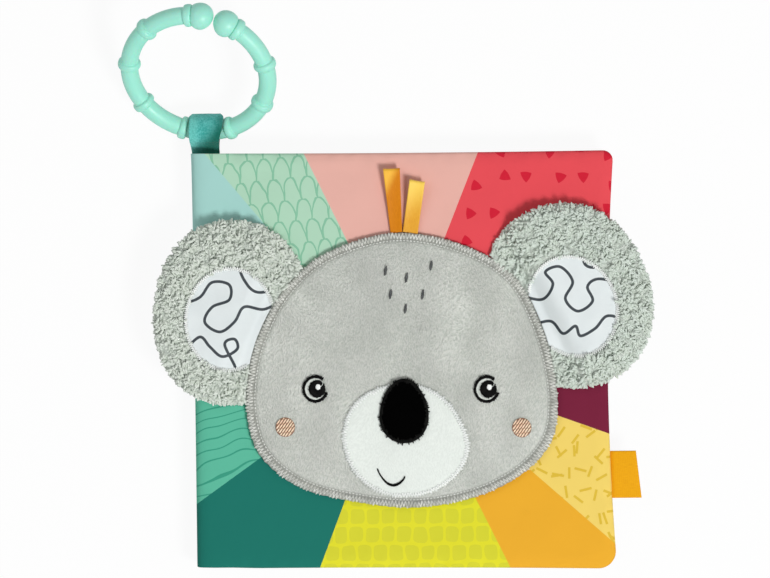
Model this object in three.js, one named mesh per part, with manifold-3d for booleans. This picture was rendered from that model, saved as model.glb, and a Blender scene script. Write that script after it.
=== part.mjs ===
// Crinkle cloth book for a baby, closed and lying on its back cover, with a padded animal head on the front.
// Millimetres, +Z up. +X runs from the spine to the fore-edge and +Y to the top of the page.
// The origin is the centre of the back cover's outer face.

import * as THREE from "three";
import Module from "manifold-3d";
import { mergeVertices } from "three/addons/utils/BufferGeometryUtils.js";

const wasm = await Module();
wasm.setup();

// Cloth, film and the clearance between pieces that touch
const gap = 0.3;
const cloth = 0.5;
const film = 0.3;
const cover_wadding = 2.4;
const leaf_wadding = 1.4;
const overrun = 3;

// Cover outline
const cover_width = 168.6;
const cover_height = 169.4;
const fore_edge_draw = 2.7;
const end_edge_draw = 0.4;
const spine_corner_radius = 3;
const top_corner_radius = 4;
const bottom_corner_radius = 7;
const bottom_corner_pull = 1.2;

// Rings of the padded covers and leaves, as shares of the way from the middle to the edge
const cover_rim_share = 1;
const leaf_rim_share = 0.985;
const filling_rim_share = 0.94;
const round_start_share = 0.92;
const spine_start_share = 0.83;
const round_middle_share = 0.965;

// Spine
const binding_radius = 1.5;
const binding_inset = 0.5;
const hinge_clearance = 0.6;
const spine_pitch = 2;

// Head
const head_x = -1.9;
const head_y = -3.9;
const head_half_width = 63;
const head_half_height = 55.4;
const head_rim_height = 1.95;
const head_roll_height = 2.4;
const head_groove_height = 1.75;
const head_shoulder_height = 2.6;
const head_crown_height = 6.8;
const plush = 1.2;
const head_outline_shares = [
  [-0.1, 1], [0.19, 0.983], [0.446, 0.893], [0.638, 0.774], [0.765, 0.634], [0.892, 0.347], [0.973, 0.032],
  [1, -0.26], [0.969, -0.494], [0.852, -0.683], [0.626, -0.856], [0.368, -0.956], [0.05, -1], [-0.275, -0.96],
  [-0.628, -0.862], [-0.82, -0.726], [-0.94, -0.56], [-1, -0.26], [-0.97, 0.08], [-0.89, 0.342],
  [-0.746, 0.611], [-0.519, 0.84],
];
const head_roll_share = 0.98;
const head_groove_start_share = 0.96;
const head_groove_fall_share = 0.6;
const head_groove_share = 0.945;
const head_groove_end_share = 0.925;
const head_dome_shares = [0.86, 0.78, 0.62, 0.4, 0.2, 0];
const head_under_shares = [0.78, 0.4, 0];
const head_filling_rim_share = 0.905;
const head_dome_power = 2.2;

// Muzzle, nose and smile
const muzzle_x = -0.6;
const muzzle_y = -32.2;
const muzzle_half_width = 25.7;
const muzzle_half_height = 22.9;
const muzzle_thickness = 0.9;
const muzzle_outline_shares = [
  [0, 1], [0.39, 0.92], [0.66, 0.7], [0.88, 0.34], [1, -0.05], [0.95, -0.35], [0.78, -0.64], [0.54, -0.85],
  [0.22, -0.97], [-0.09, -1], [-0.35, -0.95], [-0.6, -0.8], [-0.82, -0.55], [-0.96, -0.22], [-1, 0.1],
  [-0.9, 0.5], [-0.72, 0.76], [-0.4, 0.95],
];
const nose_x = -1.2;
const nose_top = -6.5;
const nose_bottom = -33.4;
const nose_half_width = 10;
const nose_thickness = 1.4;
const nose_fullness_share = 0.16;
const smile_width = 1.1;
const smile_thickness = 0.6;
const smile_height = 6.6;
const smile_left_share = -0.451;
const smile_right_share = -0.031;
const smile_low_share = -0.502;
const smile_lift = 3.2;
const smile_sag_power = 0.8;
const smile_slope_share = 0.35;

// Eyes, cheeks and forehead stitches, placed in shares of the head's half sizes
const eye_radius = 5.3;
const eye_thickness = 0.9;
const eye_recess = 0.35;
const eye_place_shares = { eye_left: [-0.562, -0.123], eye_right: [0.538, -0.135] };
const cheek_radius = 4.2;
const cheek_thickness = 0.6;
const cheek_place_shares = { cheek_left: [-0.751, -0.406], cheek_right: [0.768, -0.424] };
const stitch_length = 4.2;
const stitch_width = 1.3;
const stitch_thickness = 0.6;
const stitch_place_shares = [
  [-0.098, 0.736], [0.035, 0.684], [0.194, 0.771], [-0.068, 0.565], [0.138, 0.56], [0.027, 0.458],
];

// Rise of the sewn-on pieces: share of the way to the rim, then share of the thickness
const muzzle_swell_shares = [[1, 0.6], [0.93, 1], [0.75, 1], [0.5, 1], [0.25, 1], [0, 1]];
const muzzle_under_shares = [1, 0.75, 0.5, 0.25, 0];
const nose_swell_shares = [[1, 0.45], [0.88, 0.85], [0.6, 1], [0.3, 1], [0, 1]];
const nose_under_shares = [1, 0.5, 0];
const eye_recess_share = 1 - eye_recess / eye_thickness;
const eye_swell_shares = [[1, 0.6], [0.93, 1], [0.84, 1], [0.79, eye_recess_share], [0.73, 1], [0, 1]];
const cheek_swell_shares = [[1, 0.5], [0.8, 1], [0, 1]];
const stitch_swell_shares = [[1, 0.6], [0, 1]];

// Ears: each stands off the head's widest reach, and folds beside the head's edge
const ear_root_height = 2.6;
const ear_root_width = 2.3;
const ear_back = 0.6;
const ear_crown_height = 8.6;
const ear_rim_height = 4.4;
const ear_ramp = 9;
const ear_recess = 1.7;
const ear_recess_wall = 1.1;
const ear_pile_base = 0.5;
const ear_superellipse_power = 2.15;
const ear_round_start_share = 0.72;
const ear_ring_shares = [0, 0.15, 0.45, 1];
const ear_patch_half_share = 0.5;
const ears = {
  left: {
    hand: -1, heading: 157.5, lean: 84,
    stand_off: 6.1, rise: 24.1, half_length: 38.6, half_width: 32.1,
    patch_shift: -0.4, patch_drop: 2.8, patch_half_length: 20.6, patch_half_width: 17.6,
  },
  right: {
    hand: 1, heading: 26.3, lean: -68,
    stand_off: 5.1, rise: 29.8, half_length: 38.9, half_width: 33.6,
    patch_shift: 1.3, patch_drop: 4.3, patch_half_length: 20.4, patch_half_width: 17.6,
  },
};

// Ribbons and side tag, each a folded tape
const tape = 0.4;
const tape_slit = 0.3;
const ribbon_root_width = 5.5;
const ribbon_lift = 4;
const ribbon_bend_count = 8;
const ribbons = {
  ribbon_left: { x: -3.2, tip_x: -5.3, length: 26, width: 6.8 },
  ribbon_right: { x: 2.9, tip_x: 5.4, length: 21, width: 6.5 },
};
const tag_y = -46.6;
const tag_height = 19;
const tag_reach = 11.2;
const tag_tape = 0.5;
const tag_gap = 0.5;

// Hanger loop and ring
const loop_inset = 4.4;
const loop_stand_off = 9.1;
const loop_width = 13;
const loop_hole_radius = 5;
const loop_wall = 1.9;
const loop_nose_radius = 1.5;
const loop_root_reach = 6;
const ring_radius = 28.5;
const ring_bar_radius = 3.65;
const ring_rib_radius = 4.75;
const ring_rib_width = 3.2;
const ring_ball_radius = 5.25;
const ring_turn = -17.5;
const ring_tilt = 37.7;
const ring_loop_angle = -69.4;
const ring_neck_share = 0.637;
const ring_rib_count = 9;
const ring_gap_angle = 90.7;
const ring_rib_shares = [[-1, 0], [-0.7, 0.75], [-0.35, 1], [0.35, 1], [0.7, 0.75], [1, 0]];
const ring_bar_shares = [0.25, 0.5, 0.75];
const ring_ball_end_share = 0.97;
const ring_sides = 12;

// Counts
const head_count = 48;
const muzzle_count = 36;
const nose_count = 24;
const eye_count = 20;
const cheek_count = 16;
const stitch_count = 8;
const ear_count = 40;
const corner_count = 3;
const side_count = 3;
const smile_count = 10;
const fold_count = 6;
const ball_count = 8;
const loop_count = 20;
const loop_nose_count = 5;
const binding_sides = 12;

// Places worked out from the sizes above
const cover_depth = 2 * cloth + film + cover_wadding + 3 * gap;
const leaf_depth = 2 * cloth + film + leaf_wadding + 3 * gap;
const back_cover_middle = cover_depth / 2;
const leaf_2_middle = cover_depth + gap + leaf_depth / 2;
const leaf_1_middle = leaf_2_middle + leaf_depth + gap;
const front_cover_middle = leaf_1_middle + leaf_depth / 2 + gap + cover_depth / 2;
const cover_face = front_cover_middle + cover_depth / 2;
const hinge_height = cover_face / 2;
const rim_half_depth = cloth + gap / 2;
const half_width = cover_width / 2;
const half_height = cover_height / 2;
const hinge_x = -half_width - hinge_clearance;

// Colours
const colours = {
  cover_print: 0xe8b6a8,
  cover_lining: 0xf4efe4,
  page_print: 0xa9d8c6,
  page_back: 0xf3d9a0,
  film: 0xd9dde0,
  wadding: 0xf7f6f2,
  binding: 0x5fb59c,
  plush: 0xc3c6c0,
  backing: 0xa9aca8,
  muzzle: 0xe9ebe8,
  black: 0x15161a,
  eye: 0x202226,
  cheek: 0xebb9a5,
  stitch: 0x7d8083,
  fleece: 0xc8d0c8,
  patch: 0xe2e8ec,
  ribbon: 0xeba028,
  tag: 0xf0af0a,
  loop: 0x46b4a5,
  ring: 0xa5eeda,
};

const part = new THREE.Group();

// Small helpers

function degrees(angle) {
  return THREE.MathUtils.degToRad(angle);
}

function unit(angle) {
  return new THREE.Vector2(Math.cos(degrees(angle)), Math.sin(degrees(angle)));
}

function mix(from, to, share) {
  return from + (to - from) * share;
}

function material(colour, roughness = 0.9) {
  return new THREE.MeshStandardMaterial({ color: colour, roughness, metalness: 0 });
}

function add(name, geometry, colour, roughness) {
  const mesh = new THREE.Mesh(geometry, material(colour, roughness));
  mesh.name = name;
  part.add(mesh);
  return mesh;
}

// Value at t of a line through points of falling t
function along(levels, values, t) {
  for (let i = 1; i < levels.length; i += 1) {
    if (t >= levels[i]) {
      const share = (t - levels[i]) / (levels[i - 1] - levels[i]);
      return mix(values[i], values[i - 1], Math.min(share, 1));
    }
  }
  return values[values.length - 1];
}

// Share of the way from the middle to the outline at which a spot lies
function reach(outline, middle, spot) {
  const offset = spot.clone().sub(middle);
  for (let i = 0; i < outline.length; i += 1) {
    const a = outline[i].clone().sub(middle);
    const b = outline[(i + 1) % outline.length].clone().sub(middle);
    const area = a.cross(b);
    const share_a = offset.cross(b) / area;
    const share_b = a.cross(offset) / area;
    if (share_a > -Number.EPSILON && share_b > -Number.EPSILON) {
      return share_a + share_b;
    }
  }
  return 0;
}

function scaled(outline, middle, share) {
  return outline.map((spot) => middle.clone().lerp(spot, share));
}

// A ring of space points over an outline, at the height that a function gives
function ring_at(outline, height) {
  return outline.map((spot) => new THREE.Vector3(spot.x, spot.y, height(spot)));
}

// Rings over one outline, scaled about its middle by each level
function rings_at(outline, middle, levels, height) {
  return levels.map((level) => {
    if (level === 0) {
      return [new THREE.Vector3(middle.x, middle.y, height(middle))];
    }
    return ring_at(scaled(outline, middle, level), height);
  });
}

// A closed solid between an upper and a lower stack of rings that share their rim outline
function pad(upper, lower) {
  const positions = [];
  const faces = [];
  function place(ring) {
    const start = positions.length / 3;
    ring.forEach((spot) => positions.push(spot.x, spot.y, spot.z));
    return start;
  }
  function skin(rings, starts, flip) {
    for (let level = 1; level < rings.length; level += 1) {
      const outer = rings[level - 1];
      const inner = rings[level];
      const count = outer.length;
      for (let i = 0; i < count; i += 1) {
        const next = (i + 1) % count;
        const a = starts[level - 1] + i;
        const b = starts[level - 1] + next;
        if (inner.length === 1) {
          faces.push(...(flip ? [a, starts[level], b] : [a, b, starts[level]]));
        } else {
          const c = starts[level] + next;
          const d = starts[level] + i;
          faces.push(...(flip ? [a, c, b, a, d, c] : [a, b, c, a, c, d]));
        }
      }
    }
  }
  const upper_starts = upper.map(place);
  const lower_starts = lower.map(place);
  skin(upper, upper_starts, false);
  skin(lower, lower_starts, true);
  const count = upper[0].length;
  for (let i = 0; i < count; i += 1) {
    const next = (i + 1) % count;
    const a = lower_starts[0] + i;
    const b = lower_starts[0] + next;
    const c = upper_starts[0] + next;
    const d = upper_starts[0] + i;
    faces.push(a, b, c, a, c, d);
  }
  const geometry = new THREE.BufferGeometry();
  geometry.setAttribute("position", new THREE.Float32BufferAttribute(positions, 3));
  geometry.setIndex(faces);
  geometry.computeVertexNormals();
  return geometry;
}

// A closed smooth outline through hand-chosen shares of two half sizes, anticlockwise
function spline_outline(shares, x, y, across, up, count) {
  const knots = shares.map(([share_x, share_y]) => {
    return new THREE.Vector3(x + across * share_x, y + up * share_y, 0);
  });
  const curve = new THREE.CatmullRomCurve3(knots, true, "centripetal");
  const points = curve.getSpacedPoints(count).slice(0, count);
  const outline = points.map((spot) => new THREE.Vector2(spot.x, spot.y));
  return THREE.ShapeUtils.area(outline) < 0 ? outline.reverse() : outline;
}

function round_outline(x, y, across, up, lean, power, count) {
  const outline = [];
  for (let i = 0; i < count; i += 1) {
    const angle = (i / count) * 2 * Math.PI;
    const reach_x = across * Math.sign(Math.cos(angle)) * Math.abs(Math.cos(angle)) ** (2 / power);
    const reach_y = up * Math.sign(Math.sin(angle)) * Math.abs(Math.sin(angle)) ** (2 / power);
    const spot = new THREE.Vector2(reach_x, reach_y).rotateAround(new THREE.Vector2(), degrees(lean));
    outline.push(spot.add(new THREE.Vector2(x, y)));
  }
  return outline;
}

// Keeps the part of a convex outline where normal . spot is at least a limit
function clipped(outline, normal, limit, steps) {
  const kept = [];
  outline.forEach((spot, i) => {
    const next = outline[(i + 1) % outline.length];
    const here = normal.dot(spot) - limit;
    const there = normal.dot(next) - limit;
    if (here >= 0) {
      kept.push(spot.clone());
    }
    if (here >= 0 !== there >= 0) {
      kept.push(spot.clone().lerp(next, here / (here - there)));
    }
  });
  const straight = kept.findIndex((spot, i) => {
    const next = kept[(i + 1) % kept.length];
    const near = limit + gap / 2;
    return normal.dot(spot) < near && normal.dot(next) < near && spot.distanceTo(next) > gap * steps;
  });
  const extra = [];
  for (let i = 1; i < steps; i += 1) {
    extra.push(kept[straight].clone().lerp(kept[(straight + 1) % kept.length], i / steps));
  }
  kept.splice(straight + 1, 0, ...extra);
  return kept;
}

function solid_of(geometry) {
  const bare = geometry.clone();
  bare.deleteAttribute("normal");
  bare.deleteAttribute("uv");
  const merged = mergeVertices(bare);
  const mesh = new wasm.Mesh({
    numProp: 3,
    vertProperties: new Float32Array(merged.attributes.position.array),
    triVerts: new Uint32Array(merged.index.array),
  });
  return new wasm.Manifold(mesh);
}

function geometry_of(solid) {
  const mesh = solid.getMesh();
  const geometry = new THREE.BufferGeometry();
  geometry.setAttribute("position", new THREE.BufferAttribute(new Float32Array(mesh.vertProperties), 3));
  geometry.setIndex(new THREE.BufferAttribute(new Uint32Array(mesh.triVerts), 1));
  geometry.computeVertexNormals();
  return geometry;
}

function prism(outline, low, high) {
  const face = (height) => [ring_at(outline, () => height), centre_of(outline, height)];
  return pad(face(high), face(low));
}

function centre_of(outline, height) {
  const middle = new THREE.Vector2();
  outline.forEach((spot) => middle.add(spot));
  middle.divideScalar(outline.length);
  return [new THREE.Vector3(middle.x, middle.y, height)];
}

// Covers and leaves: one outline with drawn-in sides and rounded corners

function cover_outline() {
  const pulled_x = -half_width + bottom_corner_pull;
  const pulled_y = -half_height + bottom_corner_pull;
  const corners = [
    { x: half_width, y: half_height, radius: top_corner_radius, start: 0 },
    { x: -half_width, y: half_height, radius: spine_corner_radius, start: 90 },
    { x: pulled_x, y: pulled_y, radius: spine_corner_radius, start: 180 },
    { x: half_width, y: -half_height, radius: bottom_corner_radius, start: 270 },
  ];
  const draws = [end_edge_draw, 0, end_edge_draw, fore_edge_draw];
  const outline = [];
  const arcs = corners.map(({ x, y, radius, start }) => {
    const centre = new THREE.Vector2(x - Math.sign(x) * radius, y - Math.sign(y) * radius);
    const arc = [];
    for (let i = 0; i <= corner_count; i += 1) {
      const direction = unit(start + (90 * i) / corner_count);
      arc.push(centre.clone().addScaledVector(direction, radius));
    }
    return arc;
  });
  arcs.forEach((arc, corner) => {
    outline.push(...arc);
    const from = arc[arc.length - 1];
    const to = arcs[(corner + 1) % arcs.length][0];
    const inward = to.clone().sub(from).normalize().rotateAround(new THREE.Vector2(), Math.PI / 2);
    for (let i = 1; i <= side_count; i += 1) {
      const share = i / (side_count + 1);
      const draw = draws[corner] * 4 * share * (1 - share);
      outline.push(from.clone().lerp(to, share).addScaledVector(inward, draw));
    }
  });
  return outline;
}

const book_outline = cover_outline();
const book_middle = new THREE.Vector2();

// Upper and lower faces of one padded sheet, rounded at the edge and drawn to the seam at the spine
function sheet_faces({ middle, depth, spine_shift_share, rim_share }) {
  const spine_middle = hinge_height + spine_shift_share * spine_pitch;
  function swell(spot) {
    const t = reach(book_outline, book_middle, spot);
    const past = Math.max(0, (t - round_start_share) / (rim_share - round_start_share));
    return Math.sqrt(Math.max(0, 1 - past * past));
  }
  function spine_share(spot) {
    const past = (-spot.x / half_width - spine_start_share) / (1 - spine_start_share);
    return THREE.MathUtils.clamp(past, 0, 1) ** 2;
  }
  function halfway(spot) {
    return mix(middle, spine_middle, spine_share(spot));
  }
  function thickness(spot) {
    const fullness = Math.min(swell(spot), 1 - spine_share(spot));
    return mix(rim_half_depth, depth / 2, fullness);
  }
  return {
    top: (spot) => halfway(spot) + thickness(spot),
    bottom: (spot) => halfway(spot) - thickness(spot),
  };
}

function layer(name, levels, high, low, colour) {
  const upper = rings_at(book_outline, book_middle, levels, high);
  const lower = rings_at(book_outline, book_middle, levels, low);
  add(name, pad(upper, lower), colour);
}

function padded_sheet(name, upper_name, lower_name, sheet, colour_up, colour_down) {
  const { top, bottom } = sheet_faces(sheet);
  const skin_levels = [sheet.rim_share, round_middle_share, round_start_share, spine_start_share, 0];
  const filling_levels = [filling_rim_share, round_start_share, spine_start_share, 0];
  const film_top = (spot) => top(spot) - cloth - gap;
  const wadding_top = (spot) => film_top(spot) - film - gap;
  layer(`${name}_${upper_name}`, skin_levels, top, (spot) => top(spot) - cloth, colour_up);
  layer(`${name}_film`, filling_levels, film_top, (spot) => film_top(spot) - film, colours.film);
  const wadding_bottom = (spot) => bottom(spot) + cloth + gap;
  layer(`${name}_wadding`, filling_levels, wadding_top, wadding_bottom, colours.wadding);
  layer(`${name}_${lower_name}`, skin_levels, (spot) => bottom(spot) + cloth, bottom, colour_down);
}

padded_sheet("back_cover", "lining", "outer_cloth", {
  middle: back_cover_middle, depth: cover_depth, spine_shift_share: -1.5, rim_share: leaf_rim_share,
}, colours.cover_lining, colours.cover_print);
padded_sheet("leaf_2", "front_cloth", "back_cloth", {
  middle: leaf_2_middle, depth: leaf_depth, spine_shift_share: -0.5, rim_share: leaf_rim_share,
}, colours.page_print, colours.page_back);
padded_sheet("leaf_1", "front_cloth", "back_cloth", {
  middle: leaf_1_middle, depth: leaf_depth, spine_shift_share: 0.5, rim_share: leaf_rim_share,
}, colours.page_print, colours.page_back);
padded_sheet("front_cover", "outer_cloth", "lining", {
  middle: front_cover_middle, depth: cover_depth, spine_shift_share: 1.5, rim_share: cover_rim_share,
}, colours.cover_print, colours.cover_lining);

// Spine binding: the rolled seam on the hinge line
function spine_binding() {
  const length = cover_height - 2 * binding_inset;
  const rod = new THREE.CylinderGeometry(binding_radius, binding_radius, length, binding_sides);
  const mesh = add("spine_binding", rod, colours.binding);
  mesh.position.set(hinge_x, 0, hinge_height);
}
spine_binding();

// Head: backing, wadding and plush with a sewn groove just inside its rim

const head_middle = new THREE.Vector2(head_x, head_y);
const head_outline = spline_outline(
  head_outline_shares, head_x, head_y, head_half_width, head_half_height, head_count,
);
const head_levels = [
  1, head_roll_share, head_groove_start_share, head_groove_share, head_groove_end_share, ...head_dome_shares,
];

function head_dome(level) {
  const fall = (level / head_groove_end_share) ** head_dome_power;
  return mix(head_shoulder_height, head_crown_height, 1 - fall);
}

const head_heights = [
  head_rim_height, head_roll_height, mix(head_roll_height, head_groove_height, head_groove_fall_share),
  head_groove_height, head_shoulder_height, ...head_dome_shares.map(head_dome),
];

function head_top(spot) {
  return cover_face + along(head_levels, head_heights, reach(head_outline, head_middle, spot));
}

// The plush surface as the face pieces meet it, without the groove
function head_seat(spot) {
  const t = Math.min(reach(head_outline, head_middle, spot), head_groove_end_share);
  return cover_face + along(head_levels, head_heights, t) + gap;
}

function plush_bottom(spot) {
  const lowest = cover_face + 2 * gap + cloth;
  return Math.max(lowest, head_top(spot) - plush);
}

function head() {
  const backing_low = cover_face + gap;
  const backing_high = backing_low + cloth;
  const upper = rings_at(head_outline, head_middle, head_levels, head_top);
  const under_levels = [1, head_groove_end_share, ...head_under_shares];
  const lower = rings_at(head_outline, head_middle, under_levels, plush_bottom);
  add("head_plush", pad(upper, lower), colours.plush, 1);
  const filling_rim = head_filling_rim_share;
  const filling_levels = [filling_rim, ...head_under_shares];
  const filling_top = (spot) => plush_bottom(spot) - gap;
  const filling_upper = rings_at(head_outline, head_middle, filling_levels, filling_top);
  const filling_lower = rings_at(head_outline, head_middle, [filling_rim, 0], () => backing_high + gap);
  add("head_wadding", pad(filling_upper, filling_lower), colours.wadding);
  const flat_levels = [head_roll_share, 0];
  const backing_upper = rings_at(head_outline, head_middle, flat_levels, () => backing_high);
  const backing_lower = rings_at(head_outline, head_middle, flat_levels, () => backing_low);
  add("head_backing", pad(backing_upper, backing_lower), colours.backing);
}
head();

// A sewn-on piece that follows the surface under it, thinner at its rim
function applique({ name, outline, middle, seat, thickness, swells, unders = [1, 0] }, colour, roughness) {
  const levels = swells.map(([level]) => level);
  const shares = swells.map(([, share]) => share);
  const upper = rings_at(outline, middle, levels, (spot) => {
    return seat(spot) + thickness * along(levels, shares, reach(outline, middle, spot));
  });
  const lower = rings_at(outline, middle, unders, seat);
  add(name, pad(upper, lower), colour, roughness);
}

function on_head([share_x, share_y]) {
  return new THREE.Vector2(head_x + share_x * head_half_width, head_y + share_y * head_half_height);
}

const muzzle_middle = new THREE.Vector2(muzzle_x, muzzle_y);
const muzzle_outline = spline_outline(
  muzzle_outline_shares, muzzle_x, muzzle_y, muzzle_half_width, muzzle_half_height, muzzle_count,
);
applique({
  name: "muzzle",
  outline: muzzle_outline,
  middle: muzzle_middle,
  seat: head_seat,
  thickness: muzzle_thickness,
  swells: muzzle_swell_shares,
  unders: muzzle_under_shares,
}, colours.muzzle);

function muzzle_seat(spot) {
  return head_seat(spot) + muzzle_thickness + gap;
}

// Nose: an egg with its full end down
function nose_outline() {
  const middle_y = (nose_top + nose_bottom) / 2;
  const reach_y = (nose_top - nose_bottom) / 2;
  const outline = [];
  for (let i = 0; i < nose_count; i += 1) {
    const angle = (i / nose_count) * 2 * Math.PI;
    const across = nose_half_width * Math.cos(angle) * (1 - nose_fullness_share * Math.sin(angle));
    outline.push(new THREE.Vector2(nose_x + across, middle_y + reach_y * Math.sin(angle)));
  }
  return outline;
}
applique({
  name: "nose",
  outline: nose_outline(),
  middle: new THREE.Vector2(nose_x, (nose_top + nose_bottom) / 2),
  seat: muzzle_seat,
  thickness: nose_thickness,
  swells: nose_swell_shares,
  unders: nose_under_shares,
}, colours.black, 0.5);

// Eyes: a raised ring, a recess and a raised pupil
Object.entries(eye_place_shares).forEach(([name, shares]) => {
  const middle = on_head(shares);
  applique({
    name,
    outline: round_outline(middle.x, middle.y, eye_radius, eye_radius, 0, 2, eye_count),
    middle,
    seat: head_seat,
    thickness: eye_thickness,
    swells: eye_swell_shares,
  }, colours.eye, 0.6);
});

Object.entries(cheek_place_shares).forEach(([name, shares]) => {
  const middle = on_head(shares);
  applique({
    name,
    outline: round_outline(middle.x, middle.y, cheek_radius, cheek_radius, 0, 2, cheek_count),
    middle,
    seat: head_seat,
    thickness: cheek_thickness,
    swells: cheek_swell_shares,
  }, colours.cheek);
});

stitch_place_shares.forEach((shares, i) => {
  const middle = on_head(shares);
  applique({
    name: `forehead_stitch_${i + 1}`,
    outline: round_outline(middle.x, middle.y, stitch_width / 2, stitch_length / 2, 0, 3, stitch_count),
    middle,
    seat: head_seat,
    thickness: stitch_thickness,
    swells: stitch_swell_shares,
  }, colours.stitch);
});

// Smile: a sewn line that sags between its two ends, deeper on its left
function smile() {
  const smile_y = muzzle_y + muzzle_half_height * smile_low_share;
  const sections = [];
  for (let i = 0; i <= smile_count; i += 1) {
    const share = i / smile_count;
    const x = muzzle_x + muzzle_half_width * mix(smile_left_share, smile_right_share, share);
    const sag = smile_height * Math.sin(Math.PI * share) ** smile_sag_power;
    const y = smile_y - smile_lift * share - sag * (1 - share * smile_slope_share);
    sections.push(new THREE.Vector2(x, y));
  }
  const positions = [];
  const faces = [];
  sections.forEach((spot, i) => {
    const before = sections[Math.max(i - 1, 0)];
    const after = sections[Math.min(i + 1, smile_count)];
    const side = after.clone().sub(before).normalize().rotateAround(new THREE.Vector2(), Math.PI / 2);
    [-1, 1].forEach((hand) => {
      const edge = spot.clone().addScaledVector(side, (hand * smile_width) / 2);
      positions.push(edge.x, edge.y, muzzle_seat(edge));
      positions.push(edge.x, edge.y, muzzle_seat(edge) + smile_thickness);
    });
  });
  for (let i = 0; i < smile_count; i += 1) {
    const a = 4 * i;
    const b = a + 4;
    [[0, 1], [1, 3], [3, 2], [2, 0]].forEach(([near, far]) => {
      faces.push(a + near, b + far, a + far, a + near, b + near, b + far);
    });
  }
  const last = 4 * smile_count;
  faces.push(0, 3, 2, 0, 1, 3);
  faces.push(last, last + 2, last + 3, last, last + 3, last + 1);
  const geometry = new THREE.BufferGeometry();
  geometry.setAttribute("position", new THREE.Float32BufferAttribute(positions, 3));
  geometry.setIndex(faces);
  geometry.computeVertexNormals();
  add("smile", geometry, colours.black);
}
smile();

// Ears: a sewn root that fills the space beside the head, and a flap beyond the fold line

function ear(side, spec) {
  const normal = unit(spec.heading);
  const fold = Math.max(...head_outline.map((spot) => normal.dot(spot))) + ear_root_width;
  const x = head_x + spec.hand * (head_half_width + spec.stand_off);
  const y = head_y + spec.rise;
  const whole = round_outline(
    x, y, spec.half_length, spec.half_width, spec.lean, ear_superellipse_power, ear_count,
  );
  const ear_middle = new THREE.Vector2(x, y);
  const patch_middle = new THREE.Vector2(x + spec.patch_shift, y - spec.patch_drop);
  const flap = clipped(whole, normal, fold + gap / 2, fold_count);
  const low = cover_face + gap;
  const film_low = low + ear_back + gap;
  const pile_low = film_low + film + gap;

  function pile_top(spot) {
    const from_fold = THREE.MathUtils.clamp((normal.dot(spot) - fold) / ear_ramp, 0, 1);
    const ramp = Math.sin((from_fold * Math.PI) / 2);
    const t = reach(whole, ear_middle, spot);
    const past = Math.max(0, (t - ear_round_start_share) / (1 - ear_round_start_share));
    const round = Math.sqrt(Math.max(0, 1 - past * past));
    const full = mix(ear_rim_height, ear_crown_height, round);
    return cover_face + mix(ear_root_height, full, ramp);
  }

  function pile_floor(spot) {
    return Math.max(pile_low + ear_pile_base, pile_top(spot) - ear_recess);
  }

  // Boundary of the patch in the direction of each point of the flap
  function patch_edge(spot) {
    const direction = spot.clone().sub(patch_middle).normalize();
    const turned = direction.clone().rotateAround(new THREE.Vector2(), -degrees(spec.lean));
    const round = 1 / Math.hypot(turned.x / spec.patch_half_length, turned.y / spec.patch_half_width);
    const closing = -normal.dot(direction);
    const room = normal.dot(patch_middle) - fold - gap / 2 - ear_recess_wall;
    const straight = closing > 0 ? room / closing : round;
    return patch_middle.clone().addScaledVector(direction, Math.min(round, straight));
  }

  const patch_outline = flap.map(patch_edge);
  const between = (share) => flap.map((spot, i) => spot.clone().lerp(patch_outline[i], share));
  const recess_outline = patch_outline.map((spot) => {
    const offset = spot.clone().sub(patch_middle);
    return patch_middle.clone().addScaledVector(offset, 1 - ear_recess_wall / offset.length());
  });
  const upper = ear_ring_shares.map((share) => ring_at(between(share), pile_top));
  upper.push(ring_at(recess_outline, pile_floor));
  upper.push([new THREE.Vector3(patch_middle.x, patch_middle.y, pile_floor(patch_middle))]);
  const flat = (height) => [
    ring_at(flap, () => height),
    [new THREE.Vector3(patch_middle.x, patch_middle.y, height)],
  ];
  add(`ear_${side}_fleece`, pad(upper, flat(pile_low)), colours.fleece, 1);

  const film_outline = scaled(flap, patch_middle, filling_rim_share);
  const film_faces = (height) => [
    ring_at(film_outline, () => height),
    [new THREE.Vector3(patch_middle.x, patch_middle.y, height)],
  ];
  add(`ear_${side}_film`, pad(film_faces(film_low + film), film_faces(film_low)), colours.film);
  add(`ear_${side}_back`, pad(flat(low + ear_back), flat(low)), colours.fleece, 1);

  // The patch lies on the floor of the recess
  const floor_middle = pile_floor(patch_middle);
  const patch_share = recess_outline.map((spot) => 1 - gap / spot.distanceTo(patch_middle));
  function patch_ring(share, raise) {
    return recess_outline.map((spot, i) => {
      const place = patch_middle.clone().lerp(spot, patch_share[i] * share);
      const height = mix(floor_middle, pile_floor(spot), patch_share[i] * share);
      return new THREE.Vector3(place.x, place.y, height + gap + raise);
    });
  }
  const patch_top = new THREE.Vector3(patch_middle.x, patch_middle.y, floor_middle + gap + cloth);
  const patch_low = new THREE.Vector3(patch_middle.x, patch_middle.y, floor_middle + gap);
  const patch_upper = [patch_ring(1, cloth), patch_ring(ear_patch_half_share, cloth), [patch_top]];
  const patch_lower = [patch_ring(1, 0), [patch_low]];
  add(`ear_${side}_patch`, pad(patch_upper, patch_lower), colours.patch, 0.6);

  // Root: the ear's outline on the head's side of the fold, less the head
  const inner = clipped(whole, normal.clone().negate(), gap / 2 - fold, fold_count);
  const blank = solid_of(prism(inner, low, cover_face + ear_root_height));
  const room = scaled(head_outline, head_middle, 1 + gap / (head_half_height - overrun));
  const cutter = solid_of(prism(room, cover_face - overrun, cover_face + head_crown_height + overrun));
  add(`ear_${side}_root`, geometry_of(blank.subtract(cutter)), colours.fleece, 1);
}

Object.entries(ears).forEach(([side, spec]) => ear(side, spec));

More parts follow.
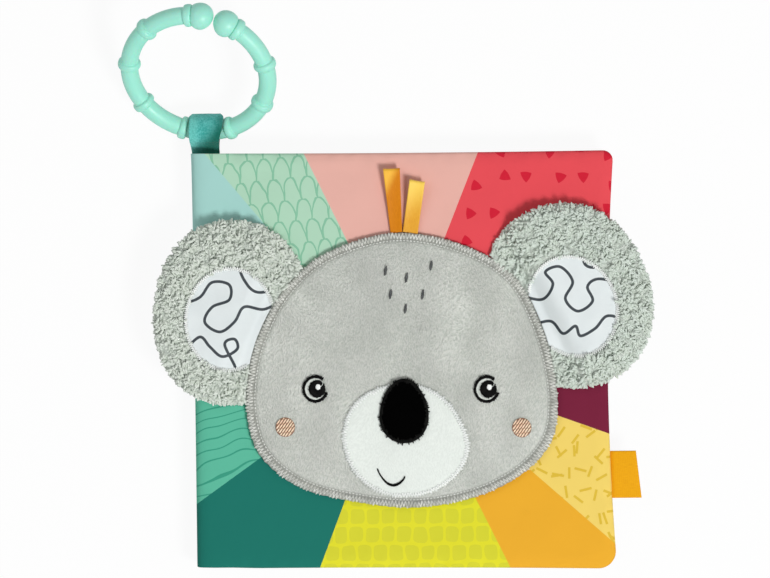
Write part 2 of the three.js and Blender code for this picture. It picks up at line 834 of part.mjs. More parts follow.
// A folded tape along +X of its profile: two layers joined by a round fold at the far end
function folded_profile(length, thickness, slit, bend) {
  const half = thickness + slit / 2;
  const low = [];
  const high = [];
  const inner_low = [];
  const inner_high = [];
  for (let i = 0; i <= ribbon_bend_count; i += 1) {
    const share = i / ribbon_bend_count;
    const place = share * (length - half);
    const lift = bend * share * share;
    low.push(new THREE.Vector2(place, lift - half));
    high.push(new THREE.Vector2(place, lift + half));
    inner_low.push(new THREE.Vector2(place, lift - slit / 2));
    inner_high.push(new THREE.Vector2(place, lift + slit / 2));
  }
  const tip = new THREE.Vector2(length, bend);
  return [...low, tip, ...high.reverse(), ...inner_high, ...inner_low.reverse()];
}

function extruded(profile, depth) {
  const shape = new THREE.Shape(profile);
  return new THREE.ExtrudeGeometry(shape, { depth, bevelEnabled: false, steps: 1 });
}

// Ribbons: they leave the head's upper rim, widen and lift towards the fold
const ribbon_half_depth = tape + tape_slit / 2;
Object.entries(ribbons).forEach(([name, spec]) => {
  const strip = extruded(folded_profile(spec.length, tape, tape_slit, ribbon_lift), spec.width);
  const base_y = Math.max(...head_outline.map((spot) => spot.y)) + gap;
  const places = strip.attributes.position;
  for (let i = 0; i < places.count; i += 1) {
    const out = places.getX(i);
    const share = out / spec.length;
    const width = mix(ribbon_root_width, spec.width, share);
    const across = (places.getZ(i) / spec.width) * width - width / 2;
    const x = mix(spec.x, spec.tip_x, share) + across;
    places.setXYZ(i, x, base_y + out, cover_face + gap + ribbon_half_depth + places.getY(i));
  }
  strip.computeVertexNormals();
  add(name, strip, colours.ribbon, 0.4);
});

// Side tag: folded tape in the fore-edge seam
function side_tag() {
  const tag = extruded(folded_profile(tag_reach, tag_tape, tape_slit, 0), tag_height);
  const edge = edge_at(tag_y + tag_height / 2, tag_y - tag_height / 2);
  const mesh = add("side_tag", tag, colours.tag, 0.6);
  mesh.rotation.x = Math.PI / 2;
  mesh.position.set(edge + tag_gap, tag_y + tag_height / 2, front_cover_middle);
}

// How far the cover's edge reaches along +X between two heights on the page
function edge_at(high, low) {
  let edge = 0;
  book_outline.forEach((spot, i) => {
    const next = book_outline[(i + 1) % book_outline.length];
    [high, low].forEach((y) => {
      if ((spot.y - y) * (next.y - y) <= 0 && spot.x > 0 && next.x > 0) {
        const share = (y - spot.y) / (next.y - spot.y);
        edge = Math.max(edge, mix(spot.x, next.x, share));
      }
    });
  });
  return edge;
}
side_tag();

// Ring: an open ring with ribs and ball ends, tilted as it stands in its loop

const ring_matrix = new THREE.Matrix4().makeRotationZ(degrees(ring_turn));
ring_matrix.multiply(new THREE.Matrix4().makeRotationX(degrees(ring_tilt)));
const bar_place = new THREE.Vector3(loop_inset - half_width, half_height + loop_stand_off, hinge_height);

function ring_spot(angle) {
  const direction = unit(angle);
  return new THREE.Vector3(direction.x * ring_radius, direction.y * ring_radius, 0);
}

const ring_centre = bar_place.clone().sub(ring_spot(ring_loop_angle).applyMatrix4(ring_matrix));
const ring_tangent_local = new THREE.Vector3(unit(ring_loop_angle + 90).x, unit(ring_loop_angle + 90).y, 0);
const ring_tangent = ring_tangent_local.applyMatrix4(ring_matrix);

function ring() {
  const per_length = 180 / (Math.PI * ring_radius);
  const ball_offset = (ring_ball_radius + gap / 2) * per_length;
  const stations = [];
  // The profile along the bar: angle and radius
  function station(angle, radius) {
    stations.push({ angle, radius });
  }
  const start = ring_gap_angle + ball_offset;
  const end = ring_gap_angle - ball_offset + 360;
  const ball_reach = ring_ball_radius * per_length;
  const rib_half = (ring_rib_width / 2) * per_length;
  function ball(centre, from, to) {
    for (let i = 0; i <= ball_count; i += 1) {
      const offset = mix(from, to, i / ball_count);
      const radius = Math.sqrt(Math.max(0, 1 - offset * offset)) * ring_ball_radius;
      station(centre + offset * ball_reach, radius);
    }
  }
  // Each ball ends in the fine groove where the rib beside it begins
  ball(start, -ring_ball_end_share, ring_neck_share);
  const first_rib = start + ring_neck_share * ball_reach + rib_half;
  const last_rib = end - ring_neck_share * ball_reach - rib_half;
  const pitch = (last_rib - first_rib) / (ring_rib_count - 1);
  const bar = pitch - 2 * rib_half;
  for (let i = 0; i < ring_rib_count; i += 1) {
    const angle = first_rib + pitch * i;
    const last = i === ring_rib_count - 1;
    ring_rib_shares.slice(i === 0 ? 1 : 0, last ? -1 : undefined).forEach(([place, share]) => {
      station(angle + place * rib_half, mix(ring_bar_radius, ring_rib_radius, share));
    });
    if (!last) {
      ring_bar_shares.forEach((share) => station(angle + rib_half + bar * share, ring_bar_radius));
    }
  }
  ball(end, -ring_neck_share, ring_ball_end_share);
  const positions = [];
  const faces = [];
  stations.forEach(({ angle, radius }) => {
    const out = unit(angle);
    for (let i = 0; i < ring_sides; i += 1) {
      const around = (i / ring_sides) * 2 * Math.PI;
      const reach_out = ring_radius + radius * Math.cos(around);
      positions.push(out.x * reach_out, out.y * reach_out, radius * Math.sin(around));
    }
  });
  for (let s = 0; s < stations.length - 1; s += 1) {
    for (let i = 0; i < ring_sides; i += 1) {
      const a = s * ring_sides + i;
      const b = s * ring_sides + ((i + 1) % ring_sides);
      const c = b + ring_sides;
      const d = a + ring_sides;
      faces.push(a, c, b, a, d, c);
    }
  }
  const top = (stations.length - 1) * ring_sides;
  for (let i = 1; i < ring_sides - 1; i += 1) {
    faces.push(0, i, i + 1);
    faces.push(top, top + i + 1, top + i);
  }
  const geometry = new THREE.BufferGeometry();
  geometry.setAttribute("position", new THREE.Float32BufferAttribute(positions, 3));
  geometry.setIndex(faces);
  geometry.applyMatrix4(ring_matrix);
  geometry.computeVertexNormals();
  const mesh = add("ring", geometry, colours.ring, 0.35);
  mesh.position.copy(ring_centre);
}
ring();

// Hanger loop: a teardrop of webbing round the bar, with a round nose on the fold line at its root

function webbing(name, shape) {
  const geometry = new THREE.ExtrudeGeometry(shape, { depth: loop_width, bevelEnabled: false, steps: 1 });
  geometry.translate(0, 0, -loop_width / 2);
  const along_y = new THREE.Vector3(0, 1, 0);
  const along_z = new THREE.Vector3(0, 0, 1);
  const along_x = new THREE.Vector3(1, 0, 0);
  geometry.applyMatrix4(new THREE.Matrix4().makeBasis(along_y, along_z, along_x));
  const mesh = add(name, geometry, colours.loop, 0.8);
  mesh.rotation.y = -Math.asin(ring_tangent.z);
  mesh.position.copy(bar_place);
}

function hanger_loop() {
  const outer = loop_hole_radius + loop_wall;
  const turn = Math.acos((outer - loop_nose_radius) / loop_root_reach);
  const shape = new THREE.Shape();
  for (let i = 0; i <= loop_count; i += 1) {
    const angle = mix(turn - Math.PI, Math.PI - turn, i / loop_count);
    shape[i === 0 ? "moveTo" : "lineTo"](outer * Math.cos(angle), outer * Math.sin(angle));
  }
  for (let i = 0; i <= loop_nose_count; i += 1) {
    const angle = mix(Math.PI - turn, Math.PI + turn, i / loop_nose_count);
    const x = -loop_root_reach + loop_nose_radius * Math.cos(angle);
    shape.lineTo(x, loop_nose_radius * Math.sin(angle));
  }
  shape.closePath();
  const hole = new THREE.Path();
  for (let i = 0; i < loop_count; i += 1) {
    const spot = unit((-360 * i) / loop_count).multiplyScalar(loop_hole_radius);
    hole[i === 0 ? "moveTo" : "lineTo"](spot.x, spot.y);
  }
  hole.closePath();
  shape.holes.push(hole);
  webbing("hanger_loop", shape);
}
hanger_loop();

// Anchor: the loop's sewn ends, between the spine binding and the fold line
function loop_anchor() {
  const near = gap - loop_stand_off;
  const far = -loop_root_reach - loop_nose_radius - gap;
  const shape = new THREE.Shape();
  shape.moveTo(near, -loop_nose_radius);
  shape.lineTo(far, -loop_nose_radius);
  shape.lineTo(far, loop_nose_radius);
  shape.lineTo(near, loop_nose_radius);
  shape.closePath();
  webbing("loop_anchor", shape);
}
loop_anchor();

export default part;
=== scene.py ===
# %% [markdown]
# # A crinkle cloth book with a soft animal head
# The book lies closed on its back cover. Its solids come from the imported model, which stays as it is,
# and this script sews cloth, plush, fleece, thread and ribbon over them. Every length below is in
# millimetres, because that is how a maker writes a pattern, and each mesh is scaled to metres once.

import math

import bpy
import numpy as np
from mathutils import Matrix, Vector


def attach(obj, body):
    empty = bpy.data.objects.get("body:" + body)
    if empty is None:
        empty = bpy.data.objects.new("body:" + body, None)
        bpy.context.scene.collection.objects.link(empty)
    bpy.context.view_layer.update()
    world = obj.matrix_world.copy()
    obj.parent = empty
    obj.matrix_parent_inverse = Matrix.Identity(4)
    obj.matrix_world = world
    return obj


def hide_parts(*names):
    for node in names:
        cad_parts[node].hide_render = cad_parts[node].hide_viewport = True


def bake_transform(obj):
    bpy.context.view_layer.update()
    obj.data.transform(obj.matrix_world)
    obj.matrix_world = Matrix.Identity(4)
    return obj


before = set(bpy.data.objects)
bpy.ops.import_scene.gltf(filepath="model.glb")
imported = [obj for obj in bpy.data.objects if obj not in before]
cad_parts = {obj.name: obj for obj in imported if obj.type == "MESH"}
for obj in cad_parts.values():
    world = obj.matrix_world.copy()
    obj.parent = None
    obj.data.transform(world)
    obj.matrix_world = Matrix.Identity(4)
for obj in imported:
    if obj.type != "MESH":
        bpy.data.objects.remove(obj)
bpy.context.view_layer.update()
MM = 0.001

# %% [markdown]
# ## Camera
# The photograph looks straight down. A long lens from far away keeps the sides of the book parallel, so
# the lens follows from the width of cloth that the picture shows and the height of the camera.

# %% Camera
cover_face = 17.3
view_width = 311.85
camera_height = 5000.0
sensor_width = 36.0
camera_data = bpy.data.cameras.new("camera")
camera_data.sensor_width = sensor_width
camera_data.lens = sensor_width * camera_height / view_width
camera_data.clip_end = 20
camera = bpy.data.objects.new("camera", camera_data)
camera.location = Vector((-8.4, 29.2, cover_face + camera_height)) * MM
camera.rotation_euler = (0, 0, -0.0082)
bpy.context.scene.collection.objects.link(camera)
bpy.context.scene.camera = camera
print("lens", round(camera_data.lens, 1), "mm")

# %% [markdown]
# ## Shader maths as Python
# A material is a graph of nodes. The Wire class stands for one output socket, and Python's operators on it
# add Math nodes, so a pattern reads as a formula. The Recipe class holds one material and has one method
# that adds any node: its type, its settings, and the values or wires of its sockets.


# %% Wire
def operator(kind, swapped=False):
    """A method for one of Python's operators: it adds a Math node of that kind."""

    def apply(wire, *values):
        return wire.recipe.math(kind, *((*values, wire) if swapped else (wire, *values)))

    return apply


class Wire:
    """One output socket, on which + - * / % < > and abs() work."""

    def __init__(self, recipe, socket):
        self.recipe = recipe
        self.socket = socket

    def other(self, name):
        return Wire(self.recipe, self.socket.node.outputs[name])

    __add__, __radd__ = operator("ADD"), operator("ADD", swapped=True)
    __sub__, __rsub__ = operator("SUBTRACT"), operator("SUBTRACT", swapped=True)
    __mul__, __rmul__ = operator("MULTIPLY"), operator("MULTIPLY", swapped=True)
    __truediv__, __mod__ = operator("DIVIDE"), operator("FLOORED_MODULO")
    __lt__, __gt__, __abs__ = operator("LESS_THAN"), operator("GREATER_THAN"), operator("ABSOLUTE")


print("Wire is ready")

# %% [markdown]
# Colours are written as they look on a screen, and tint turns them into linear light. The short methods of a
# Recipe name the nodes used often: noise, a mix of two colours, a soft threshold, a bump.


# %% Recipe
def tint(red, green, blue):
    """A colour written as on a screen, 0 to 255, as the linear colour that a socket wants."""
    linear = []
    for value in (red, green, blue):
        share = value / 255
        linear.append(share / 12.92 if share <= 0.04045 else ((share + 0.055) / 1.055) ** 2.4)
    return (*linear, 1.0)


class Recipe:
    """One material under construction."""

    def __init__(self, name, roughness=0.9, **constants):
        self.material = bpy.data.materials.new(name)
        self.material.use_nodes = True
        self.tree = self.material.node_tree
        self.shader = self.tree.nodes["Principled BSDF"]
        self.shader.inputs["Roughness"].default_value = roughness
        for key, value in constants.items():
            self.shader.inputs[key.replace("_", " ")].default_value = value

    def node(self, kind, settings=None, values=None, output=0):
        made = self.tree.nodes.new(kind)
        for key, value in (settings or {}).items():
            setattr(made, key, value)
        for key, value in (values or {}).items():
            if isinstance(value, Wire):
                self.tree.links.new(value.socket, made.inputs[key])
            else:
                made.inputs[key].default_value = value
        return Wire(self, made.outputs[output])

    def math(self, operation, *values):
        return self.node("ShaderNodeMath", {"operation": operation}, dict(enumerate(values)))

    def vector(self, operation, first, second):
        return self.node("ShaderNodeVectorMath", {"operation": operation}, {0: first, 1: second})

    def place(self):
        """The point on the object, in millimetres."""
        point = self.node("ShaderNodeTexCoord", output="Object")
        return self.vector("MULTIPLY", point, (1000, 1000, 1000))

    def split(self, point):
        x = self.node("ShaderNodeSeparateXYZ", values={0: point})
        return x, x.other("Y"), x.other("Z")

    def join(self, x, y, z=0.0):
        return self.node("ShaderNodeCombineXYZ", values={0: x, 1: y, 2: z})

    def mark(self, name):
        """A number that the mesh carries at its points."""
        return self.node("ShaderNodeAttribute", {"attribute_name": name}, output="Fac")

    def noise(self, point, size, detail=2.0, roughness=0.5):
        values = {"Vector": point, "Scale": 1 / size, "Detail": detail, "Roughness": roughness}
        return self.node("ShaderNodeTexNoise", values=values)

    def mix(self, share, first, second, blend="MIX"):
        settings = {"data_type": "RGBA", "blend_type": blend, "clamp_factor": True}
        return self.node("ShaderNodeMix", settings, {0: share, 6: first, 7: second}, 2)

    def smooth(self, value, low, high):
        """0 below low, 1 above high."""
        settings = {"interpolation_type": "SMOOTHSTEP", "clamp": True}
        return self.node("ShaderNodeMapRange", settings, {"Value": value, "From Min": low, "From Max": high})

    def feed(self, socket, wire):
        self.tree.links.new(wire.socket, self.shader.inputs[socket])
        return self

    def colour(self, wire):
        return self.feed("Base Color", wire)

    def bump(self, height, distance, strength):
        """Raises the surface by a height of 0 to 1 times the distance in millimetres."""
        values = {"Height": height, "Distance": distance * MM, "Strength": strength}
        return self.feed("Normal", self.node("ShaderNodeBump", values=values, output="Normal"))


def weave(recipe, x, y, pitch):
    """Plain weave: threads that pass over and under each other, 0 to 1."""
    turn = 2 * math.pi / pitch
    across = recipe.math("SINE", x * turn)
    along = recipe.math("SINE", y * turn)
    return across * along * 0.5 + 0.5


print("Recipe is ready")

# %% [markdown]
# ## The printed cover cloth
# The cover is a brushed polyester with a sunburst of ten wedges that run under the head. Each border is a
# straight line between two points, and a wedge is what lies left of one border and right of the next.
# Five wedges carry a textbook pattern in a deeper tone: triangles, scallops, contour lines, pebbles, sticks.

# %% Wedges
borders = [
    ((-2.6, 0.4), (83.0, 26.6)), ((14.8, 47.0), (29.0, 82.6)), ((-26.1, 53.9), (-40.3, 83.1)),
    ((-65.1, 65.5), (-79.5, 82.7)), ((-2.6, 0.4), (-84.0, 13.3)), ((-61.0, -39.9), (-83.0, -55.6)),
    ((-26.5, -59.5), (-34.8, -81.3)), ((29.3, -59.2), (40.1, -81.1)), ((57.2, -51.0), (78.9, -70.2)),
    ((64.7, -23.9), (78.8, -29.0)),
]
wedges = {
    "red": ((233, 80, 88), (212, 34, 56)), "pink": ((234, 180, 168), None),
    "green": ((179, 218, 192), (139, 196, 165)), "blue": ((168, 215, 208), None),
    "sea": ((95, 188, 159), (62, 157, 131)), "teal": ((29, 117, 104), None),
    "lime": ((226, 222, 48), (214, 212, 54)), "orange": ((236, 174, 48), None),
    "yellow": ((241, 211, 108), (222, 186, 62)),
}
plum = (120, 34, 60)
print("wedges:", ", ".join(wedges), "and plum")

# %% [markdown]
# Each pattern is a formula over x and y that gives 1 inside a figure and 0 outside it. Repeats come from the
# remainder of a division, and scattered figures from cells that are each turned their own way.


# %% Patterns
def turned_cell(recipe, point, size):
    """Coordinates inside the nearest cell of a scatter, each cell turned its own way."""
    values = {"Vector": point, "Scale": 1 / size, "Randomness": 0.52}
    cell = recipe.node("ShaderNodeTexVoronoi", {"voronoi_dimensions": "2D"}, values, "Position")
    own = recipe.vector("SUBTRACT", point, cell)
    spin = recipe.split(cell.other("Color"))[0] * (2 * math.pi)
    settings, values = {"rotation_type": "Z_AXIS"}, {"Vector": own, "Angle": spin}
    return recipe.split(recipe.node("ShaderNodeVectorRotate", settings, values))[:2]


def scallops(recipe, x, y, width, height, line):
    """Rows of tall arches, each row set off by half an arch, drawn as thin lines."""
    row = recipe.math("FLOOR", y / height)
    across = ((x / width + row * 0.5) % 1.0 - 0.5) * 2
    up = y / height % 1.0
    reach = recipe.math("SQRT", across * across + up * up * 0.96)
    return abs(reach - 0.98) < line / height * (1.0 + abs(across) * 0.7)


def triangles(recipe, point, size, half):
    """Soft-cornered triangles: the largest of three slopes, rounded by the distance."""
    x, y = turned_cell(recipe, point, size)
    sides = [x * math.cos(a) + y * math.sin(a) for a in (0.2, 2.3, 4.3)]
    reach = recipe.math("SQRT", x * x + y * y)
    slope = recipe.math("MAXIMUM", recipe.math("MAXIMUM", sides[0], sides[1]), sides[2])
    return slope * 0.72 + reach * 0.28 < half


def sticks(recipe, point, size, half_width, half_length):
    x, y = turned_cell(recipe, point, size)
    return (abs(x) < half_width) * (abs(y) < half_length)


def pebbles(recipe, x, y, width, height):
    """Rounded blocks in uneven rows, as on a tortoise shell."""
    row = recipe.math("FLOOR", y / height)
    across = (x / width + recipe.math("SINE", row * 2.4) * 0.8) % 1.0 - 0.5
    up = y / height % 1.0 - 0.5
    return (across * across * across * across + up * up * up * up) < 0.031


print("patterns are ready")

# %% [markdown]
# The cloth mixes in one wedge after another over a plum ground. Then two sizes of noise vary its tone, and
# its weave and its soft creases raise the surface.


# %% Cover cloth
def sunburst_cloth():
    recipe = Recipe("cover_print_cloth", 0.85, Specular_IOR_Level=0.12)
    point = recipe.place()
    x, y, z = recipe.split(point)
    flat = recipe.join(x, y)
    sway = (recipe.noise(flat, 11.0) - 0.5) * 4.0
    swing = (recipe.noise(recipe.join(y, x), 12.0) - 0.5) * 4.0
    drift = recipe.noise(recipe.vector("ADD", flat, (17.0, 30.0, 0)), 31.0, 1.0) * 30 - x * 0.14
    patterns = {
        "red": triangles(recipe, flat, 11.6, 1.7),
        "green": scallops(recipe, x + sway + y * 0.12, y + swing * 0.5 - x * 0.1, 6.8, 8.8, 0.46),
        "sea": ((y + drift) / 5.2 % 1.0) < 0.13,
        "lime": pebbles(recipe, x + sway * 0.6, y + swing * 0.6, 6.4, 7.4),
        "yellow": recipe.math(
            "MAXIMUM", sticks(recipe, flat, 8.2, 0.5, 2.3),
            sticks(recipe, recipe.vector("ADD", flat, (31.3, 57.1, 0)), 9.1, 0.5, 2.5),
        ),
    }
    lefts = []
    for (x0, y0), (x1, y1) in borders:
        dx, dy = x1 - x0, y1 - y0
        lefts.append(x * -dy + y * dx + (dy * x0 - dx * y0) > 0)
    colour = tint(*plum)
    for k, (name, (ground, figure)) in enumerate(wedges.items()):
        inside = lefts[k] * (1 - lefts[k + 1])
        colour = recipe.mix(inside, colour, tint(*ground))
        if figure:
            colour = recipe.mix(inside * patterns[name], colour, tint(*figure))
    cloth = weave(recipe, x, y + z, 0.42)
    tone = recipe.noise(point, 26.0, 2.0) * 0.5 + recipe.noise(point, 2.2, 3.0) * 0.5
    colour = recipe.mix(recipe.smooth(tone, 0.35, 0.65) * 0.1, colour, (0.5, 0.5, 0.5, 1), "SOFT_LIGHT")
    crush = recipe.noise(point, 9.0, 3.0)
    return recipe.colour(colour).bump(cloth * 0.12 + crush, 0.55, 0.55).material


cover_print = sunburst_cloth()
print("cover print has", len(cover_print.node_tree.nodes), "nodes")

# %% [markdown]
# ## Finishes for the other cloths
# Each cloth is a short recipe: a base colour, one or two tones that vary over it, and a bump at the size
# of its own threads or hairs. Plush gets sheen, because light catches the tips of its nap. Thread is drawn
# as real geometry further down, so its finish only needs a twist along each stitch.


# %% Plain cloths
def page_cloth(name, ground, figure, pattern):
    """Inner page: a printed polyester with a simple repeat."""
    recipe = Recipe(name, 0.85, Sheen_Weight=0.1, Specular_IOR_Level=0.3)
    point = recipe.place()
    x, y, z = recipe.split(point)
    if pattern == "dots":
        row = recipe.math("FLOOR", y / 12)
        across = ((x / 12 + row * 0.5) % 1.0 - 0.5) * 12
        up = (y / 12 % 1.0 - 0.5) * 12
        drawn = (across * across + up * up) < 9.0
    elif pattern == "stripes":
        drawn = ((x + y) / 14 % 1.0) < 0.34
    elif pattern == "checks":
        drawn = ((x / 16 % 1.0) < 0.5) * 0.5 + ((y / 16 % 1.0) < 0.5) * 0.5
    else:
        drawn = recipe.smooth(recipe.noise(point, 16.0), 0.35, 0.65) * 0.25
    colour = recipe.mix(drawn, tint(*ground), tint(*figure))
    cloth = weave(recipe, x, y + z, 0.42)
    # Painted shade: the cloth is darkened a little where its weave dips.
    colour = recipe.mix((1 - cloth) * 0.09, colour, tint(70, 70, 76))
    return recipe.colour(colour).bump(cloth * 0.12 + recipe.noise(point, 9.0, 3.0), 0.55, 0.5).material


def pile_cloth(name, light, dark, nap, roughness=0.95, sheen=0.2, specular=0.15, relief=0.5, painted_rim_shade=None):
    """Plush: fine hairs brushed one way, so its noise is drawn out along a slowly turning line."""
    recipe = Recipe(name, roughness, Sheen_Weight=sheen, Sheen_Roughness=0.45, Specular_IOR_Level=specular)
    point = recipe.place()
    x, y, z = recipe.split(point)
    bend = (recipe.noise(point, 34.0, 1.0) - 0.5) * 26
    brushed = recipe.join(x + bend, (y - x * 0.25) * 0.42, z)
    hair = recipe.noise(brushed, nap, 4.0, 0.62)
    patch = recipe.noise(point, 19.0, 2.0)
    shade = recipe.smooth(hair, 0.36, 0.64) * 0.76 + recipe.smooth(patch, 0.3, 0.7) * 0.24
    colour = recipe.mix(shade, tint(*dark), tint(*light))
    # Painted shade near the rim: where the mesh marks its rim, the plush turns to a darker colour.
    if painted_rim_shade:
        colour = recipe.mix(recipe.mark("painted_rim_shade"), colour, tint(*painted_rim_shade))
    return recipe.colour(colour).bump(hair, relief, 0.9).material


def thread(name, light, dark, roughness=0.45, specular=0.4):
    """Embroidery thread: a slow change of tone from stitch to stitch, and a fine twist."""
    recipe = Recipe(name, roughness, Specular_IOR_Level=specular)
    point = recipe.place()
    twist = recipe.noise(point, 0.35, 2.0)
    tone = recipe.noise(point, 2.6, 1.0)
    share = recipe.smooth(tone * 0.5 + twist * 0.5, 0.35, 0.65)
    return recipe.colour(recipe.mix(share, tint(*dark), tint(*light))).bump(twist, 0.12, 0.5).material


lining = page_cloth("lining_cloth", (244, 239, 226), (229, 222, 206), "plain")
page_front = page_cloth("page_cloth_front", (240, 212, 130), (250, 240, 214), "dots")
page_back = page_cloth("page_cloth_back", (168, 214, 200), (120, 190, 172), "stripes")
page_front_low = page_cloth("page_cloth_front_low", (232, 182, 170), (246, 220, 212), "checks")
page_back_low = page_cloth("page_cloth_back_low", (186, 205, 224), (222, 232, 242), "dots")
# The darker rim colours of the head and the muzzle are painted shade in the groove and under the edge
# stitches.
head_plush = pile_cloth("head_plush", (253, 255, 248), (216, 222, 212), 0.45, relief=2.1, painted_rim_shade=(190, 192, 184))
head_backing = pile_cloth("head_backing", (178, 182, 176), (158, 162, 156), 0.5, sheen=0.05)
muzzle_plush = pile_cloth("muzzle_plush", (236, 242, 236), (225, 231, 225), 0.5, sheen=0.1, relief=0.25,
                          painted_rim_shade=(218, 224, 218))
nose_plush = pile_cloth("nose_plush", (3, 3, 3), (1, 1, 1), 0.45, 0.95, 0.0, 0.02)
ear_back_cloth = pile_cloth("ear_back_cloth", (206, 213, 204), (172, 180, 172), 0.8)
binding_cloth = page_cloth("binding_cloth", (86, 178, 152), (70, 160, 136), "plain")
thread_grey = thread("rim_thread", (242, 243, 237), (196, 198, 190))
thread_groove = thread("groove_thread", (250, 252, 247), (222, 226, 219))
thread_white = thread("muzzle_thread", (253, 255, 253), (240, 244, 241))
thread_eye = thread("eye_white_thread", (224, 228, 222), (198, 203, 197), 0.6, 0.2)
thread_black = thread("black_thread", (20, 20, 19), (1, 1, 2), 0.6, 0.08)
thread_nose = thread("nose_thread", (22, 22, 20), (2, 2, 2), 0.55, 0.1)
thread_peach = thread("cheek_thread", (255, 238, 212), (255, 214, 186))
# Painted shade: the brown pad under a cheek's threads shows as shade in the gaps between them.
cheek_gap_shade = thread("cheek_gap_shade", (158, 122, 100), (134, 102, 82), 0.9, 0.1)
thread_slate = thread("forehead_thread", (104, 107, 106), (66, 69, 70))
print("cloth and thread finishes are ready")

# %% [markdown]
# ## From points to cloth
# A sheet of cloth is a grid of points. To give it thickness and a closed edge, a second grid lies under
# the first, and a band joins their rims. A round pad is made of rings about a middle in the same way.
# These helpers turn arrays of points into meshes and let each piece ride on its CAD body.


# %% Mesh helpers
def piece(name, points, faces, material, body=None, marks=None, uv=None, slot=None, replaces=()):
    """One mesh object, from points in millimetres."""
    mesh = bpy.data.meshes.new(name)
    mesh.from_pydata((np.asarray(points) * MM).tolist(), [], faces)
    mesh.polygons.foreach_set("use_smooth", [True] * len(mesh.polygons))
    for key, values in (marks or {}).items():
        mesh.attributes.new(key, "FLOAT", "POINT").data.foreach_set("value", np.asarray(values, np.float32))
    if uv is not None:
        corner = np.zeros(len(mesh.loops), np.int32)
        mesh.loops.foreach_get("vertex_index", corner)
        layer = mesh.uv_layers.new(name="along")
        layer.data.foreach_set("uv", np.asarray(uv, np.float32)[corner].ravel())
    mesh.materials.append(material)
    mesh.update()
    obj = bpy.data.objects.new(name, mesh)
    bpy.context.scene.collection.objects.link(obj)
    if body:
        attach(obj, body)
    if replaces:
        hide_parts(*replaces)
    return obj


def ring_faces(count, rings, first_pole, last_pole):
    """Faces over rings of points, from a middle point out and on to another."""
    near = np.arange(count)
    far = (near + 1) % count
    faces = []
    for r in range(rings - 1):
        low, high = r * count, (r + 1) * count
        faces.extend(np.stack([low + near, high + near, high + far, low + far], 1).tolist())
    faces.extend(np.stack([np.full(count, first_pole), near, far], 1).tolist())
    low = (rings - 1) * count
    faces.extend(np.stack([low + near, np.full(count, last_pole), low + far], 1).tolist())
    return faces


def ring_pad(rings, first, last):
    """Points and faces of a closed pad: rings out over the top, round the rim and back below."""
    count = len(rings[0])
    points = np.concatenate([*rings, [first], [last]])
    total = len(rings) * count
    return points, ring_faces(count, len(rings), total, total + 1)


def grid_shell(top, bottom):
    """Points and faces of a closed sheet between two grids of equal size."""
    rows, columns = top.shape[:2]
    points = np.concatenate([top.reshape(-1, 3), bottom.reshape(-1, 3)])
    index = np.arange(rows * columns).reshape(rows, columns)
    a, b, c, d = index[:-1, :-1], index[:-1, 1:], index[1:, 1:], index[1:, :-1]
    faces = np.stack([a, b, c, d], -1).reshape(-1, 4).tolist()
    under = rows * columns
    faces += np.stack([d + under, c + under, b + under, a + under], -1).reshape(-1, 4).tolist()
    edge = np.concatenate([index[0, ::-1], index[1:, 0], index[-1, 1:], index[-2::-1, -1]])
    near, far = edge[:-1], edge[1:]
    faces += np.stack([near, far, far + under, near + under], 1).tolist()
    return points, faces


print("pads and sheets can be built")

# %% [markdown]
# Thread and tufts are tubes: a ring of points round each station of a path, as wide and as high as the path
# says. Thousands of tubes are built in one call, because numpy is much faster than a loop in Python.


# %% Tubes and small maths
def unit_rows(vectors):
    return vectors / np.maximum(np.linalg.norm(vectors, axis=-1, keepdims=True), 1e-9)


def tubes(paths, wide, high, reference, sides):
    """Many short closed tubes: paths (k, m, 3), half width and half height (m,) or (k, m)."""
    paths = np.asarray(paths, float)
    count, stations = paths.shape[:2]
    tangent = unit_rows(np.gradient(paths, axis=1))
    reference = np.broadcast_to(np.asarray(reference, float)[..., None, :], paths.shape)
    up = unit_rows(reference - (reference * tangent).sum(-1, keepdims=True) * tangent)
    side = np.cross(tangent, up)
    angle = np.arange(sides) / sides * 2 * math.pi
    wide = np.broadcast_to(wide, (count, stations))[..., None, None]
    high = np.broadcast_to(high, (count, stations))[..., None, None]
    around = side[:, :, None] * np.cos(angle)[:, None] * wide + up[:, :, None] * np.sin(angle)[:, None] * high
    skin = (paths[:, :, None] + around).reshape(count, -1, 3)
    points = np.concatenate([skin, paths[:, :1], paths[:, -1:]], 1)
    one = ring_faces(sides, stations, stations * sides, stations * sides + 1)
    step = points.shape[1] * np.arange(count)[:, None, None]
    faces = []
    for corners in (4, 3):
        like = np.array([face for face in one if len(face) == corners])
        faces += (like[None] + step).reshape(-1, corners).tolist()
    return points.reshape(-1, 3), faces


def scaled(curve, middle, level):
    """A curve shrunk or grown about its middle."""
    return np.array(middle) + (curve - np.array(middle)) * level


def ripple(x, y, length, seed):
    """Smooth unevenness of about -1 to 1 with one main wave length."""
    draw = np.random.default_rng(seed)
    total = np.zeros_like(np.asarray(x, float))
    for _ in range(7):
        heading, phase = draw.uniform(0, 2 * math.pi, 2)
        wave = 2 * math.pi / (length * draw.uniform(0.75, 1.4))
        total += np.sin((x * math.cos(heading) + y * math.sin(heading)) * wave + phase)
    return total / 2.6


def smoothstep(value, low, high):
    share = np.clip((value - low) / (high - low), 0, 1)
    return share * share * (3 - 2 * share)


print("tubes can be built")

# %% [markdown]
# ## Outlines
# The covers and leaves share one outline: a square whose sides are drawn in a little by the seams, with
# small round corners. The head and the muzzle are smooth closed curves through a few listed points. An
# Outline object knows how far it reaches in every direction, so any spot on the cloth can be given as a
# share of the way from the middle to the edge.


